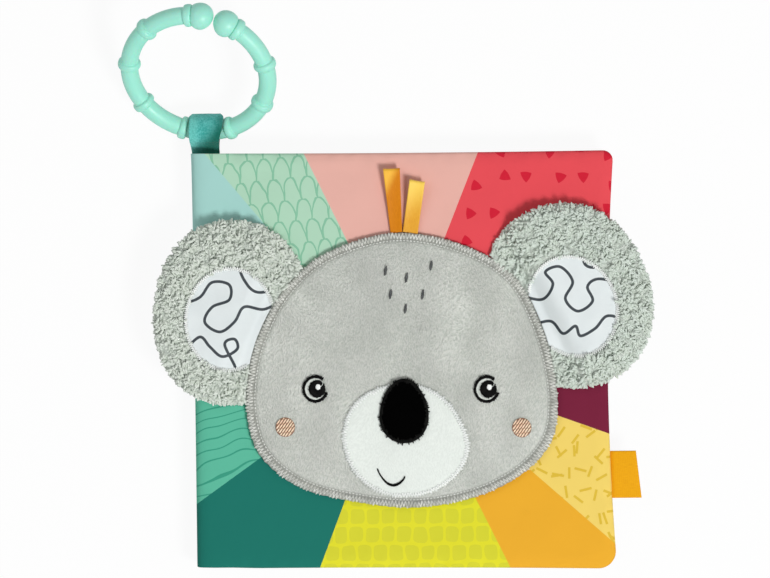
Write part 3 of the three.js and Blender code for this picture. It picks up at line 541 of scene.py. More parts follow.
# %% Outlines
class Outline:
    """A closed outline that can be seen whole from its middle."""

    def __init__(self, points, middle):
        self.middle = np.array(middle, float)
        self.points = np.asarray(points, float)
        offset = self.points - self.middle
        angle = np.arctan2(offset[:, 1], offset[:, 0])
        order = np.argsort(angle)
        self.angle = angle[order]
        self.radius = np.hypot(offset[:, 0], offset[:, 1])[order]

    def reach(self, angle):
        return np.interp(angle, self.angle, self.radius, period=2 * math.pi)

    def share(self, x, y):
        dx, dy = x - self.middle[0], y - self.middle[1]
        return np.hypot(dx, dy) / self.reach(np.arctan2(dy, dx))


def evenly(points, count, closed=True):
    """Points at equal steps along a line of points."""
    line = np.concatenate([points, points[:1]]) if closed else np.asarray(points)
    along = np.concatenate([[0], np.cumsum(np.linalg.norm(np.diff(line, axis=0), axis=1))])
    steps = np.linspace(0, along[-1], count + 1 if closed else count)
    even = np.stack([np.interp(steps, along, line[:, k]) for k in range(line.shape[1])], 1)
    return even[:-1] if closed else even


def rounded_curve(knots, steps=24):
    """A centripetal Catmull-Rom curve through closed knots."""
    knots = np.asarray(knots, float)
    curve = []
    for i in range(len(knots)):
        p0, p1, p2, p3 = (knots[(i + k) % len(knots)] for k in (-1, 0, 1, 2))
        d0, d1, d2 = (np.linalg.norm(b - a) ** 0.5 for a, b in ((p0, p1), (p1, p2), (p2, p3)))
        out = ((p1 - p0) / d0 - (p2 - p0) / (d0 + d1) + (p2 - p1) / d1) * d1
        into = ((p2 - p1) / d1 - (p3 - p1) / (d1 + d2) + (p3 - p2) / d2) * d1
        for step in range(steps):
            t = step / steps
            rise = 2 * t**3 - 3 * t**2
            curve.append(p1 * (rise + 1) + p2 * -rise + out * (t**3 - 2 * t**2 + t) + into * (t**3 - t**2))
    return np.array(curve)


def shared_curve(shares, middle, half, count):
    knots = np.array(middle) + np.array(shares) * np.array(half)
    return evenly(rounded_curve(knots), count)


head_middle = (-1.9, -3.9)
head_half = (63.0, 55.4)
head_shares = [
    (-0.1, 1), (0.19, 0.983), (0.446, 0.893), (0.638, 0.774), (0.765, 0.634), (0.892, 0.347),
    (0.973, 0.032), (1, -0.26), (0.969, -0.494), (0.852, -0.683), (0.626, -0.856), (0.368, -0.956),
    (0.05, -1), (-0.275, -0.96), (-0.628, -0.862), (-0.82, -0.726), (-0.94, -0.56), (-1, -0.26),
    (-0.97, 0.08), (-0.89, 0.342), (-0.746, 0.611), (-0.519, 0.84),
]
head_curve = shared_curve(head_shares, head_middle, head_half, 720)[::-1]
head_outline = Outline(head_curve, head_middle)
muzzle_middle = (-0.6, -32.2)
muzzle_half = (25.7, 22.9)
muzzle_shares = [
    (0, 1), (0.39, 0.92), (0.66, 0.7), (0.88, 0.34), (1, -0.05), (0.95, -0.35), (0.78, -0.64), (0.54, -0.85),
    (0.22, -0.97), (-0.09, -1), (-0.35, -0.95), (-0.6, -0.8), (-0.82, -0.55), (-0.96, -0.22), (-1, 0.1),
    (-0.9, 0.5), (-0.72, 0.76), (-0.4, 0.95),
]
muzzle_curve = shared_curve(muzzle_shares, muzzle_middle, muzzle_half, 320)[::-1]
muzzle_outline = Outline(muzzle_curve, muzzle_middle)
print("head", head_half, "muzzle", muzzle_half)

# %% [markdown]
# ## Covers and leaves
# On the real book each cover and leaf is a turned pillow: two cloths sewn face to face, turned out, with
# crinkle film and wadding between them. A square grid is bent onto the outline, so its cells stay even and
# run along the edges, and the heights repeat the pillow of the CAD solid. The outer cloths of the two
# covers also run round the spine, where they meet in one seam beside the hinge.

# %% Covers and leaves
half_width, half_height = 84.3, 84.7
hinge = (-84.9, 8.65)
cloth_thick = 0.5


def cover_sides(steps=60):
    """Four runs of the cover outline, each from the middle of one corner to the middle of the next."""
    corners = [
        (half_width, half_height, 4, 0), (-half_width, half_height, 3, 90),
        (-half_width + 1.2, -half_height + 1.2, 3, 180), (half_width, -half_height, 7, 270),
    ]
    arcs = []
    for x, y, radius, start in corners:
        angle = np.radians(np.linspace(start, start + 90, 21))
        centre = np.array([x - math.copysign(radius, x), y - math.copysign(radius, y)])
        arcs.append(centre + radius * np.stack([np.cos(angle), np.sin(angle)], 1))
    runs = []
    for k, draw in enumerate((0.4, 0, 0.4, 2.7)):
        start, end = arcs[k][-1], arcs[(k + 1) % 4][0]
        share = np.linspace(0, 1, steps)[1:-1, None]
        along = unit_rows(end - start)
        inward = np.array([-along[1], along[0]])
        side = start + (end - start) * share + inward * draw * 4 * share * (1 - share)
        runs.append(np.concatenate([arcs[k][10:], side, arcs[(k + 1) % 4][:11]]))
    return runs


sides_of_cover = cover_sides()


def square_on_cover(cells):
    """A grid of spots over the cover, with narrow cells at the rim, and each spot's share of the reach."""
    half = cells // 2
    levels = np.concatenate([np.linspace(0, 0.985, half - 2), [0.992, 0.997, 1.0]])
    steps = np.arange(-half, half + 1)
    u, v = np.meshgrid(steps, steps, indexing="xy")
    ring = np.maximum(abs(u), abs(v))
    safe = np.maximum(ring, 1)
    side = np.select([v == ring, u == -ring, v == -ring], [0, 1, 2], 3)
    steps_on = np.choose(side, [ring - u, ring - v, ring + u, ring + v])
    place = steps_on / (2 * safe)
    x, y = np.zeros(u.shape), np.zeros(u.shape)
    for k, run in enumerate(sides_of_cover):
        along = np.concatenate([[0], np.cumsum(np.linalg.norm(np.diff(run, axis=0), axis=1))])
        chosen = side == k
        x[chosen] = np.interp(place[chosen] * along[-1], along, run[:, 0])
        y[chosen] = np.interp(place[chosen] * along[-1], along, run[:, 1])
    share = levels[ring]
    return x * share, y * share, share


print("corners of the cover:", [tuple(np.round(run[0], 1).tolist()) for run in sides_of_cover])

# %% [markdown]
# A pillow is thickest in its middle and thin at its seam, where the thread puckers the cloth. Beside the
# spine all the pillows close up towards the hinge. Only the two outer cloths pass it: they turn down there
# along one bent line, and the lower one is the mirror of the upper.

# %% Heights and the turn at the spine
bend_start = -71.0
seam_reach, seam_height = 15.75, 8.8
wrap_angle = np.linspace(0, math.pi / 2, 60)
wrap_x = bend_start - seam_reach * np.sin(wrap_angle) ** 0.38
wrap_z = seam_height + (cover_face - seam_height) * np.cos(wrap_angle) ** 0.38
spine_side = np.concatenate([sides_of_cover[0][-11:], sides_of_cover[1], sides_of_cover[2][:11]])[::-1]


def sheet_heights(x, y, share, spec):
    """Upper and lower height of a padded sheet, with a lightly puckered seam."""
    past = np.clip((share * spec["rim"] - 0.92) / (spec["rim"] - 0.92), 0, 1)
    swell = np.sqrt(1 - past**2)
    spine = np.clip((-x / half_width - 0.83) / 0.17, 0, 1) ** 2
    halfway = spec["middle"] * (1 - spine) + (hinge[1] + spec["shift"] * 2) * spine
    thick = 0.65 + (spec["depth"] / 2 - 0.65) * np.minimum(swell, 1 - spine)
    pucker = ripple(x, y, 9.0, spec["seed"]) * smoothstep(share, 0.93, 1.0) * 0.22 * (1 - spine)
    return halfway + thick + pucker, halfway - thick + pucker


def round_the_spine(x, y, outer, inner, left_end, sign):
    """Bends the strip beside the spine onto the wrap line, its thickness set square to that line."""
    place = np.clip((bend_start - x) / (bend_start - left_end), 0, 1) * (len(wrap_x) - 1)

    def along(values):
        return np.interp(place, np.arange(len(wrap_x)), values)

    down = np.clip((half_height - y) / (2 * half_height), 0, 1)
    line_x = bend_start + (along(wrap_x) - bend_start) * (1 - 0.086 * np.sqrt(down))
    line_z = along(wrap_z) if sign > 0 else cover_face - along(wrap_z)
    slope_x, slope_z = along(np.gradient(wrap_x)), along(np.gradient(wrap_z)) * sign
    inward = sign * cloth_thick / np.hypot(slope_x, slope_z)
    bent = place > 0
    x_inner = np.where(bent, line_x - slope_z * inward, x)
    z_inner = np.where(bent, line_z + slope_x * inward, inner)
    return np.where(bent, line_x, x), np.where(bent, line_z, outer), x_inner, z_inner


def padded_cloth(name, material, spec, cells, upper, wrapped, slot):
    """One cloth of a cover or leaf: the upper or lower skin of its pillow."""
    x, y, share = square_on_cover(cells)
    left_end = np.interp(y, spine_side[:, 1], spine_side[:, 0]) * spec["rim"]
    x, y = x * spec["rim"], y * spec["rim"]
    lift = 0.7 * smoothstep(-x, 58.0, 84.0) + 1.0 * smoothstep(-x, 76.0, 85.0)
    y = y + lift * np.clip(-y / half_height, 0, 1) ** 8
    high, low = sheet_heights(x, y, share, spec)
    sign, outer = (1, high) if upper else (-1, low)
    inner = outer - sign * cloth_thick
    dent = smoothstep(share, 0.98, 0.9) * (0.16 + 0.16 * ripple(x, y, 26.0, spec["seed"] + 5))
    outer = outer - sign * (smoothstep(share, 0.994, 1.0) * 0.3 + dent * spec["dent"])
    x_inner = x
    if wrapped:
        x, outer, x_inner, inner = round_the_spine(x, y, outer, inner, left_end, sign)
    skins = [np.stack([x, y, outer], -1), np.stack([x_inner, y, inner], -1)]
    points, faces = grid_shell(*(skins if upper else skins[::-1]))
    return piece(name, points, faces, material, slot=slot)


print("the cover's cloths turn down at x", bend_start, "and meet at height", seam_height)

# %% [markdown]
# Four pillows of two cloths make the book. A cloth stands in for the CAD solid of its name and rides on its
# body. The front cover's outer cloth rides on no body: its transform is baked into its mesh.

# %% Eight cloths
pillows = {
    "back_cover": {"middle": 2.3, "depth": 4.6, "shift": -1.5, "rim": 0.985, "seed": 11, "dent": 0.0},
    "leaf_2": {"middle": 6.7, "depth": 3.6, "shift": -0.5, "rim": 0.985, "seed": 23, "dent": 0.3},
    "leaf_1": {"middle": 10.6, "depth": 3.6, "shift": 0.5, "rim": 0.985, "seed": 37, "dent": 0.3},
    "front_cover": {"middle": 15.0, "depth": 4.6, "shift": 1.5, "rim": 1.0, "seed": 41, "dent": 1.0},
}
cloths = [
    ("back_cover", "lining", lining, True, "root", "lining_cloth", 64),
    ("back_cover", "outer_cloth", cover_print, False, "root", "cover_cloth", 96),
    ("leaf_2", "front_cloth", page_front_low, True, "leaf_2", "page_cloth", 64),
    ("leaf_2", "back_cloth", page_back_low, False, "leaf_2", "page_back_cloth", 64),
    ("leaf_1", "front_cloth", page_front, True, "leaf_1", "page_cloth", 64),
    ("leaf_1", "back_cloth", page_back, False, "leaf_1", "page_back_cloth", 64),
    ("front_cover", "outer_cloth", cover_print, True, "front_cover", "cover_cloth", 140),
    ("front_cover", "lining", lining, False, "front_cover", "lining_cloth", 64),
]
for pillow, cloth_name, material, upper, body, slot, cells in cloths:
    name = f"{pillow}_{cloth_name}"
    wrapped = cloth_name == "outer_cloth"
    cloth = padded_cloth(f"{name}_sewn", material, pillows[pillow], cells, upper, wrapped, slot)
    if wrapped and body == "front_cover":
        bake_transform(cloth)
    else:
        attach(cloth, body)
    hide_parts(name)
    share = pillows[pillow]["rim"]
print("sewn cloths:", len(cloths))

# %% [markdown]
# The seam allowances of all the cloths are rolled into one strip of binding at the spine. Seen from the end
# of the book it is a spiral, so the spiral is drawn once and carried along the spine.


# %% Spine binding
def make_binding():
    """The rolled seam of the spine: a spiral of cloth, a little slimmer towards the foot of the book."""
    turns = np.linspace(0, 2 * math.pi * 2.2, 96)
    places = np.linspace(-82.8, 83.9, 60)
    foot = (84.7 - places) / 169.4
    radius = 1.38 - 0.42 * turns / turns[-1]
    centre_x = hinge[0] + 0.95 * np.sqrt(foot)
    ridge = 1 + 0.03 * np.sin(places * 1.7)

    def skin(inset):
        spread = (radius - inset)[None] * ridge[:, None]
        x = centre_x[:, None] + spread * np.cos(turns)[None]
        z = hinge[1] + spread * np.sin(turns)[None]
        return np.stack([x, np.broadcast_to(places[:, None], x.shape), z], -1)

    points, faces = grid_shell(skin(0.0), skin(0.14))
    binding = piece("spine_binding_roll", points, faces, binding_cloth, "root", slot="binding_cloth",
                    replaces=["spine_binding"])


make_binding()
print("the spine's seam is rolled")

# %% [markdown]
# ## Head
# The head is a short-haired plush over wadding. Its edge is overcast with grey thread, and a second line of
# stitches three millimetres inside it pulls a groove. The plush is one closed pad of rings: the heights go
# from the rim over the roll and the groove to the crown, and the stitches are laid on top as real thread.

# %% Head plush
edge_height, crown_height, dome_share = 2.6, 6.8, 0.925
head_levels = np.array([0, dome_share, 0.945, 0.96, 0.98, 1.0])
head_rim_heights = np.array([edge_height, edge_height, 1.75, 2.01, 2.4, 1.95])


def head_height(x, y, groove=True):
    """Height of the head: a dome, and outside it the groove and the roll of the rim."""
    share = head_outline.share(x, y)
    dome = edge_height + (crown_height - edge_height) * (1 - np.clip(share / dome_share, 0, 1) ** 2.2)
    if not groove:
        return cover_face + dome
    rim = np.interp(share, head_levels, head_rim_heights)
    return cover_face + np.where(share < dome_share, dome, rim)


def rings_over(curve, middle, levels, height):
    """Rings of an outline at each level, lifted by a height function."""
    flats = [scaled(curve, middle, level) for level in levels]
    return [np.column_stack([flat, height(flat[:, 0], flat[:, 1])]) for flat in flats]


def make_head():
    """The plush is puffed by the wadding, pulled down along the groove and rolled under at the edge."""
    inner = np.linspace(0.012, 0.9, 72)
    rim = [0.912, 0.922, 0.93, 0.937, 0.943, 0.948, 0.954, 0.961, 0.969, 0.977, 0.985, 0.992, 0.997]
    count = len(head_curve)

    def top(x, y):
        share = head_outline.share(x, y)
        soft = ripple(x, y, 17.0, 3) * 0.1 + ripple(x, y, 3.4, 4) * 0.035
        seam = ripple(x, y, 2.4, 6) * 0.12 * smoothstep(share, 0.94, 0.98)
        return head_height(x, y) + soft * smoothstep(share, 0.94, 0.8) + seam

    rings = rings_over(head_curve, head_middle, [*inner, *rim], top)
    wander = 1 + 0.0022 * np.sin(np.arange(count) / count * 2 * math.pi * 97)
    for level, height in ((1.001, 1.7), (1.0, 1.35), (0.996, 1.12)):
        flat = scaled(head_curve, head_middle, (level * wander)[:, None])
        rings.append(np.column_stack([flat, np.full(count, cover_face + height)]))

    def under(x, y):
        return np.maximum(cover_face + 1.1, head_height(x, y) - 1.2)

    rings += rings_over(head_curve, head_middle, [0.96, 0.925, 0.86, 0.7, 0.5, 0.25, 0.05], under)
    crown = float(top(*np.array(head_middle)))
    points, faces = ring_pad(rings, [*head_middle, crown], [*head_middle, cover_face + 5.6])
    # Painted shade: this mark darkens the plush from the groove out over the rim, under the overcast
    # stitches.
    painted_rim_shade = smoothstep(head_outline.share(points[:, 0], points[:, 1]), 0.932, 0.942)
    head = piece("head_plush_sewn", points, faces, head_plush, "front_cover", marks={"painted_rim_shade": painted_rim_shade},
                 slot="head_plush", replaces=["head_plush"])
    print("head crown at", round(crown, 1), "mm")


make_head()

# %% [markdown]
# ## Thread
# A stitch is a short tube that rises out of the cloth, lies on it and sinks in again. Overcasting is a zigzag
# of such stitches from holes in the cloth out over its edge. A hand doesn't hit the holes exactly, so each
# hole is shifted a little.


# %% Stitches
def stitches(name, starts, ends, seat, lift, half, material, slot, body="front_cover", **more):
    """Short lengths of thread that come up out of the cloth, lie on it and go back in."""
    starts, ends = np.asarray(starts, float), np.asarray(ends, float)
    shares = np.array([0, 0.1, 0.32, 0.68, 0.9, 1.0])
    rise = np.array([-0.3, 0.45, 1.0, 1.0, 0.45, -0.3])
    flat = starts[:, None] + (ends - starts)[:, None] * shares[None, :, None]
    height = seat(flat[..., 0], flat[..., 1]) + rise * lift
    paths = np.concatenate([flat, height[..., None]], -1)
    width = np.array([0.45, 0.9, 1.0, 1.0, 0.9, 0.45]) * half
    points, faces = tubes(paths, width, width * 0.75, np.array([0, 0, 1.0])[None], 6)
    return piece(name, points, faces, material, body, slot=slot, **more)


def along_outline(curve, middle, level, count, shift=0.0):
    """Even places along an outline at a level, as a line of count points."""
    even = evenly(scaled(curve, middle, level), count * 8)
    return even[(np.arange(count) * 8 + int(shift * 8)) % len(even)]


def overcast(name, curve, middle, levels, count, seat, lift, half, material, slot, jitter, seed):
    """A zigzag of thread over an edge: out to the edge and back to the next hole."""
    draw = np.random.default_rng(seed)
    holes = along_outline(curve, middle, levels[0], count)
    turns = along_outline(curve, middle, levels[1], count, 0.5)
    holes = scaled(holes, middle, 1 + draw.uniform(-jitter, jitter, (count, 1)))
    turns = scaled(turns, middle, 1 + draw.uniform(-jitter, jitter, (count, 1)))
    starts = np.concatenate([holes, turns])
    ends = np.concatenate([turns, np.roll(holes, -1, axis=0)])
    stitches(name, starts, ends, seat, lift, half, material, slot)


def on_head(x, y):
    return head_height(x, y) + 0.05


overcast("head_rim_stitches", head_curve, head_middle, (0.955, 1.003), 275, on_head, 0.33, 0.22,
         thread_grey, "head_plush", 0.006, 5)
groove_count, groove_level = 260, 0.9445
groove_runs = [along_outline(head_curve, head_middle, groove_level, groove_count, at) for at in (0.0, 0.72)]
stitches("head_groove_stitches", *groove_runs, on_head, 0.4, 0.24, thread_groove, "head_plush")
print("head stitched")

# %% [markdown]
# ## Muzzle, nose and smile
# The muzzle is a flat patch of white plush held by a dense satin edge. The nose is black plush with an
# untidy satin edge, whose points of thread give it its spiky rim. The smile is one sewn line.


# %% Muzzle
def seat_on_head(x, y):
    return head_height(x, y, groove=False) + 0.3


def swell_at(share, swell):
    return np.interp(share, *zip(*swell))


def applique(name, curve, middle, seat, thick, swell, material, slot, replaces, rings, soft=0.0):
    """A pad that follows the surface under it: swell gives the share of its thickness at each level."""
    levels = np.linspace(0.02, 0.985, rings)
    outline = Outline(curve, middle)

    def top(x, y):
        share = outline.share(x, y)
        lumps = ripple(x, y, 6.0, 8) * soft * smoothstep(share, 1.0, 0.8)
        return seat(x, y) + thick * swell_at(share, swell) + lumps

    stack = rings_over(curve, middle, [*levels, 0.995], top)
    stack += rings_over(curve, middle, [1.0], lambda x, y: seat(x, y) + thick * swell[-1][1] * 0.55)
    stack += rings_over(curve, middle, [0.99, 0.8, 0.55, 0.3, 0.05], seat)
    spot = np.array(middle)
    points, faces = ring_pad(stack, [*middle, float(top(*spot))], [*middle, float(seat(*spot))])
    # Painted shade: this mark darkens the pad's edge, where the satin stitches sink it.
    painted_rim_shade = smoothstep(outline.share(points[:, 0], points[:, 1]), 0.915, 0.93)
    obj = piece(name, points, faces, material, "front_cover", {"painted_rim_shade": painted_rim_shade}, slot=slot, replaces=replaces)


muzzle_thick = 0.9
muzzle_swell = [(0, 1), (0.88, 1), (0.94, 0.85), (0.985, 0.5), (1, 0.3)]
applique("muzzle_sewn", muzzle_curve, muzzle_middle, seat_on_head, muzzle_thick, muzzle_swell, muzzle_plush,
         "muzzle_cloth", ["muzzle"], rings=30, soft=0.04)


def on_muzzle(x, y):
    share = muzzle_outline.share(x, y)
    return seat_on_head(x, y) + muzzle_thick * swell_at(share, muzzle_swell) * (share < 1.01)


overcast("muzzle_edge_stitches", muzzle_curve, muzzle_middle, (0.925, 1.015), 136, on_muzzle, 0.42, 0.22,
         thread_white, "muzzle_cloth", 0.02, 9)


def seat_on_muzzle(x, y):
    return seat_on_head(x, y) + muzzle_thick + 0.3


print("muzzle sewn, its top at", round(float(seat_on_muzzle(*np.array(muzzle_middle))), 1), "mm")

# %% [markdown]
# The nose is an egg that is wider below. The smile is a run of satin stitches laid across one curved line,
# longest where the line hangs lowest.

# %% Nose and smile
nose_middle = (-1.1, -20.15)
nose_half = (9.85, 13.1)


def nose_curve(count):
    angle = np.arange(count) / count * 2 * math.pi
    across = nose_half[0] * np.cos(angle) * (1 - 0.16 * np.sin(angle))
    return np.array(nose_middle) + np.stack([across, nose_half[1] * np.sin(angle)], 1)


nose_swell = [(0, 1.25), (0.3, 1.2), (0.6, 1.08), (0.88, 0.85), (0.96, 0.7), (1, 0.45)]
applique("nose_sewn", nose_curve(120), nose_middle, seat_on_muzzle, 1.4, nose_swell, nose_plush,
         "nose_satin", ["nose"], rings=24, soft=0.05)
nose_outline = Outline(nose_curve(240), nose_middle)


def on_nose(x, y):
    share = nose_outline.share(x, y)
    return seat_on_muzzle(x, y) - 0.2 + 1.6 * swell_at(share, nose_swell) * smoothstep(share, 1.13, 1.0)


overcast("nose_edge_stitches", nose_curve(240), nose_middle, (0.87, 1.03), 84, on_nose, 0.32, 0.22,
         thread_nose, "nose_satin", 0.045, 12)


def smile_line(count):
    share = np.linspace(0, 1, count)
    x = muzzle_middle[0] + muzzle_half[0] * (-0.441 + 0.425 * share)
    base = muzzle_middle[1] - muzzle_half[1] * 0.502
    sag = 5.1 * np.sin(math.pi * share) ** 0.72 * (1 - share * 0.1)
    return np.stack([x, base - 3.2 * share - sag], 1)


def make_smile():
    """A run of short satin stitches across the line, wider at its lowest part."""
    line = evenly(smile_line(60), 46, closed=False)
    along = unit_rows(np.gradient(line, axis=0))
    side = np.stack([-along[:, 1], along[:, 0]], 1)
    share = np.linspace(0, 1, len(line))
    half = 0.16 + 0.34 * np.sin(math.pi * share**1.5) ** 1.4
    slant = along * 0.22
    starts = line - side * half[:, None] - slant
    ends = line + side * half[:, None] + slant
    smile = stitches("smile_stitches", starts, ends, seat_on_muzzle, 0.3, 0.24, thread_black, "smile_thread",
                     replaces=["smile"])


make_smile()
print("muzzle, nose and smile sewn")

# %% [markdown]
# ## Eyes, cheeks and forehead
# These are machine embroidery, so they are made of their threads. An eye has a black ring, a white crescent
# inside it, a black pupil set towards the ring's right side and a small white glint. Each layer of stitches
# lies a little higher than the one before, as it does when a machine sews light over dark.


# %% Embroidery helpers
def rays(angle):
    """Steps of one unit in the plane, one for each angle."""
    return np.stack([np.cos(angle), np.sin(angle)], -1)


def circle(middle, radius, count):
    return np.array(middle) + radius * rays(np.arange(count) / count * 2 * math.pi)


def above_head(height):
    return lambda x, y: seat_on_head(x, y) + height


def spokes(name, middle, reach, count, height, half, material, arc=(0, 2 * math.pi), seed=2):
    """Satin stitches that lie across a ring, or across a part of it, slightly taller than wide."""
    draw = np.random.default_rng(seed)
    angle = np.linspace(arc[0], arc[1], count, endpoint=arc[1] - arc[0] < 6.2)
    near = reach[0] + draw.uniform(-0.1, 0.1, (len(angle), 1))
    far = reach[1] + draw.uniform(-0.2, 0.2, (len(angle), 1))
    starts = np.array(middle) + rays(angle) * (1, 1.05) * near
    ends = np.array(middle) + rays(angle + 0.06) * (1, 1.05) * far
    stitches(name, starts, ends, above_head(height), 0.22, half, material, "eye_thread")


def satin_dot(name, middle, radius, pitch, lean, height, half, material):
    """A disc filled with parallel stitches."""
    draw = np.random.default_rng(2)
    offset = np.arange(-radius + pitch / 2, radius, pitch)
    chord = np.sqrt(np.maximum(radius**2 - offset**2, 0.04))
    across = np.array([math.cos(lean), math.sin(lean)])
    along = np.array([-math.sin(lean), math.cos(lean)])
    centre = np.array(middle) + across * offset[:, None]
    loose = draw.uniform(-0.1, 0.1, (len(offset), 2))
    starts = centre - along * (chord + loose[:, 0])[:, None]
    ends = centre + along * (chord + loose[:, 1])[:, None]
    stitches(name, starts, ends, above_head(height), 0.25, half, material, "eye_thread")


print("stitches for rings and dots are ready")

# %% [markdown]
# An eye is built from the bottom up, each layer a few tenths of a millimetre above the last: white ground,
# crescent, ring, pupil, glint and one loose thread.

# %% Eyes
disc_swell = [(0, 1), (0.9, 1), (1, 0.6)]
eyes = {"eye_left": (-37.306, -10.714), "eye_right": (31.994, -11.379)}
full_turn = 2 * math.pi
for name, place in eyes.items():
    middle = (place[0] + 0.42, place[1] - 0.28)
    white = (middle[0] - 0.25, middle[1])
    pupil = (middle[0] + 0.66, middle[1])
    glint = (middle[0] + 1.1, middle[1] + 0.8)
    applique(f"{name}_white", circle(white, 4.3, 72), white, seat_on_head, 0.4, disc_swell, thread_eye,
             "eye_thread", [name], rings=8)
    spokes(f"{name}_crescent", white, (3.0, 4.4), 72, 0.4, 0.2, thread_eye, (0.86, full_turn - 0.42))
    spokes(f"{name}_ring", middle, (4.1, 5.35), 84, 0.5, 0.23, thread_black, (0.88, full_turn - 0.36),
           seed=int(abs(middle[0])))
    applique(f"{name}_pupil_pad", circle(pupil, 3.4, 60), pupil, above_head(0.45), 0.35, disc_swell,
             thread_black, "eye_thread", [], rings=6)
    spokes(f"{name}_pupil", pupil, (0.5, 3.48), 60, 0.8, 0.22, thread_black)
    satin_dot(f"{name}_glint", glint, 1.12, 0.27, 1.5, 1.05, 0.19, thread_white)
    hair = np.array(middle) + np.array([[1.9, 0.8], [2.8, 1.4], [3.1, 2.4], [2.5, 3.3]])
    stitches(f"{name}_loose_thread", hair[:3], hair[1:], above_head(1.0), 0.2, 0.14, thread_eye, "eye_thread")
print("eyes:", ", ".join(eyes))

# %% [markdown]
# A cheek is rows of peach thread over a darker pad, which paints the shade in the gaps between the rows,
# and each row's stitches start a little later than the last row's. The six marks on the forehead are small
# fans of slate thread.

# %% Cheeks and forehead
cheeks = {"cheek_left": (-49.213, -26.392), "cheek_right": (46.484, -27.39)}
for name, middle in cheeks.items():
    applique(f"{name}_pad", circle(middle, 3.95, 60), middle, seat_on_head, 0.3, disc_swell, cheek_gap_shade,
             "cheek_thread", [], rings=6)
    starts, ends = [], []
    for row, across in enumerate(np.arange(-3.5, 3.6, 0.94)):
        chord = math.sqrt(3.8**2 - across**2)
        breaks = [-chord, *np.arange(-3.4 + row % 3 * 0.8, 3.6, 2.4), chord]
        breaks = [b for b in breaks if abs(b) <= chord]
        for low, high in zip(breaks[:-1], breaks[1:]):
            if high - low > 0.6:
                starts.append((across, low + 0.05))
                ends.append((across, high - 0.05))
    lean = -0.62
    turn = np.array([[math.cos(lean), math.sin(lean)], [-math.sin(lean), math.cos(lean)]])
    starts, ends = (np.array(middle) + np.array(part) @ turn for part in (starts, ends))
    cheek = stitches(f"{name}_stitches", starts, ends, above_head(0.3), 0.25, 0.31, thread_peach,
                     "cheek_thread", replaces=[name])

forehead = [(-8.1, 36.9), (0.3, 34.0), (10.3, 38.8), (-6.2, 27.4), (6.8, 27.1), (-0.2, 21.5)]
loose = np.random.default_rng(19)
for number, (x, y) in enumerate(forehead, 1):
    rows = np.linspace(-1.7, 1.7, 10)
    half = 0.22 + 0.42 * np.cos(rows / 2.1 * math.pi / 2) + loose.uniform(-0.1, 0.1, 10)
    starts = np.stack([x - half + rows * 0.1, y + rows - 0.55], 1)
    ends = np.stack([x + half + rows * 0.1, y + rows - 0.05], 1)
    dash = stitches(f"forehead_stitch_{number}_sewn", starts, ends, seat_on_head, 0.3, 0.19, thread_slate,
                    "forehead_thread", replaces=[f"forehead_stitch_{number}"])
print("cheeks and", len(forehead), "forehead marks sewn")

# %% [markdown]
# ## Ears
# Each ear is a soft disc of curly fleece round a smooth printed patch. It is sewn down beside the head and
# folds there; its cloths are attached to no body, and their transforms are baked in. The fleece is a lumpy
# pad, and its curls are small bent tufts by the thousand, each with a light tip, and with painted shade at
# its root and in the gaps between curls. A tuft has only two dozen faces, because there are so many.

# %% Ear finishes
fleece_base = Recipe("fleece_ground", 0.95, Sheen_Weight=0.2, Specular_IOR_Level=0.2)
curl_shade = fleece_base.smooth(fleece_base.noise(fleece_base.place(), 1.1, 3.0), 0.35, 0.65)
fleece_base.colour(fleece_base.mix(curl_shade, tint(186, 195, 186), tint(216, 223, 214)))
fleece_base.bump(curl_shade, 0.5, 0.8)

fleece_tuft = Recipe("fleece_tufts", 0.95, Sheen_Weight=0.35, Sheen_Roughness=0.5, Specular_IOR_Level=0.15)
# Painted shade: the tuft mark darkens each tuft towards its root, and the tufts in the gaps between curls.
tuft_painted_shade = fleece_tuft.mark("tuft")
tuft_point = fleece_tuft.place()
tuft_side = fleece_tuft.smooth(fleece_tuft.split(tuft_point)[0], 0.0, 50.0)
tuft_tip = fleece_tuft.mix(tuft_side, tint(235, 241, 234), tint(222, 233, 226))
tuft_colour = fleece_tuft.mix(tuft_painted_shade, tint(196, 205, 195), tuft_tip)
tuft_colour = fleece_tuft.mix(fleece_tuft.noise(tuft_point, 9.0) * 0.25, tuft_colour, tint(214, 222, 198))
fleece_tuft.colour(tuft_colour).bump(fleece_tuft.noise(tuft_point, 0.3, 2.0), 0.15, 0.6)

patch_cloth = Recipe("ear_patch_satin", 0.5, Specular_IOR_Level=0.4)
patch_point = patch_cloth.place()
ink = patch_cloth.smooth(patch_cloth.mark("ink"), 0.66, 0.5)
patch_tone = patch_cloth.mix(patch_cloth.noise(patch_point, 12.0), tint(218, 226, 227), tint(232, 238, 238))
patch_cloth.colour(patch_cloth.mix(ink, patch_tone, tint(52, 60, 66)))
satin = weave(patch_cloth, *patch_cloth.split(patch_point)[:2], 0.3)
patch_cloth.bump(satin * 0.3 + patch_cloth.noise(patch_point, 5.0), 0.3, 0.4)
print("fleece and patch finishes are ready")

# %% [markdown]
# An ear's outline is a superellipse, a little squarer than an oval. All its cloths are rings about the middle
# of the patch. Each ray from that middle ends at the edge of the ear, or at the head where that is nearer.

# %% Ear shapes
ear_specs = {
    "left": {"middle": (-71.0, 20.2), "half": (38.6, 32.1), "lean": 84.0, "heading": 157.5, "fold": 61.667,
             "patch": (-71.4, 17.4), "patch_half": (20.6, 17.6), "seed": 51},
    "right": {"middle": (66.2, 25.9), "half": (38.9, 33.6), "lean": -68.0, "heading": 26.3, "fold": 58.182,
              "patch": (67.5, 21.6), "patch_half": (20.4, 17.6), "seed": 77},
}
sewn_height, ear_rim, ear_height = 2.6, 4.4, 8.6


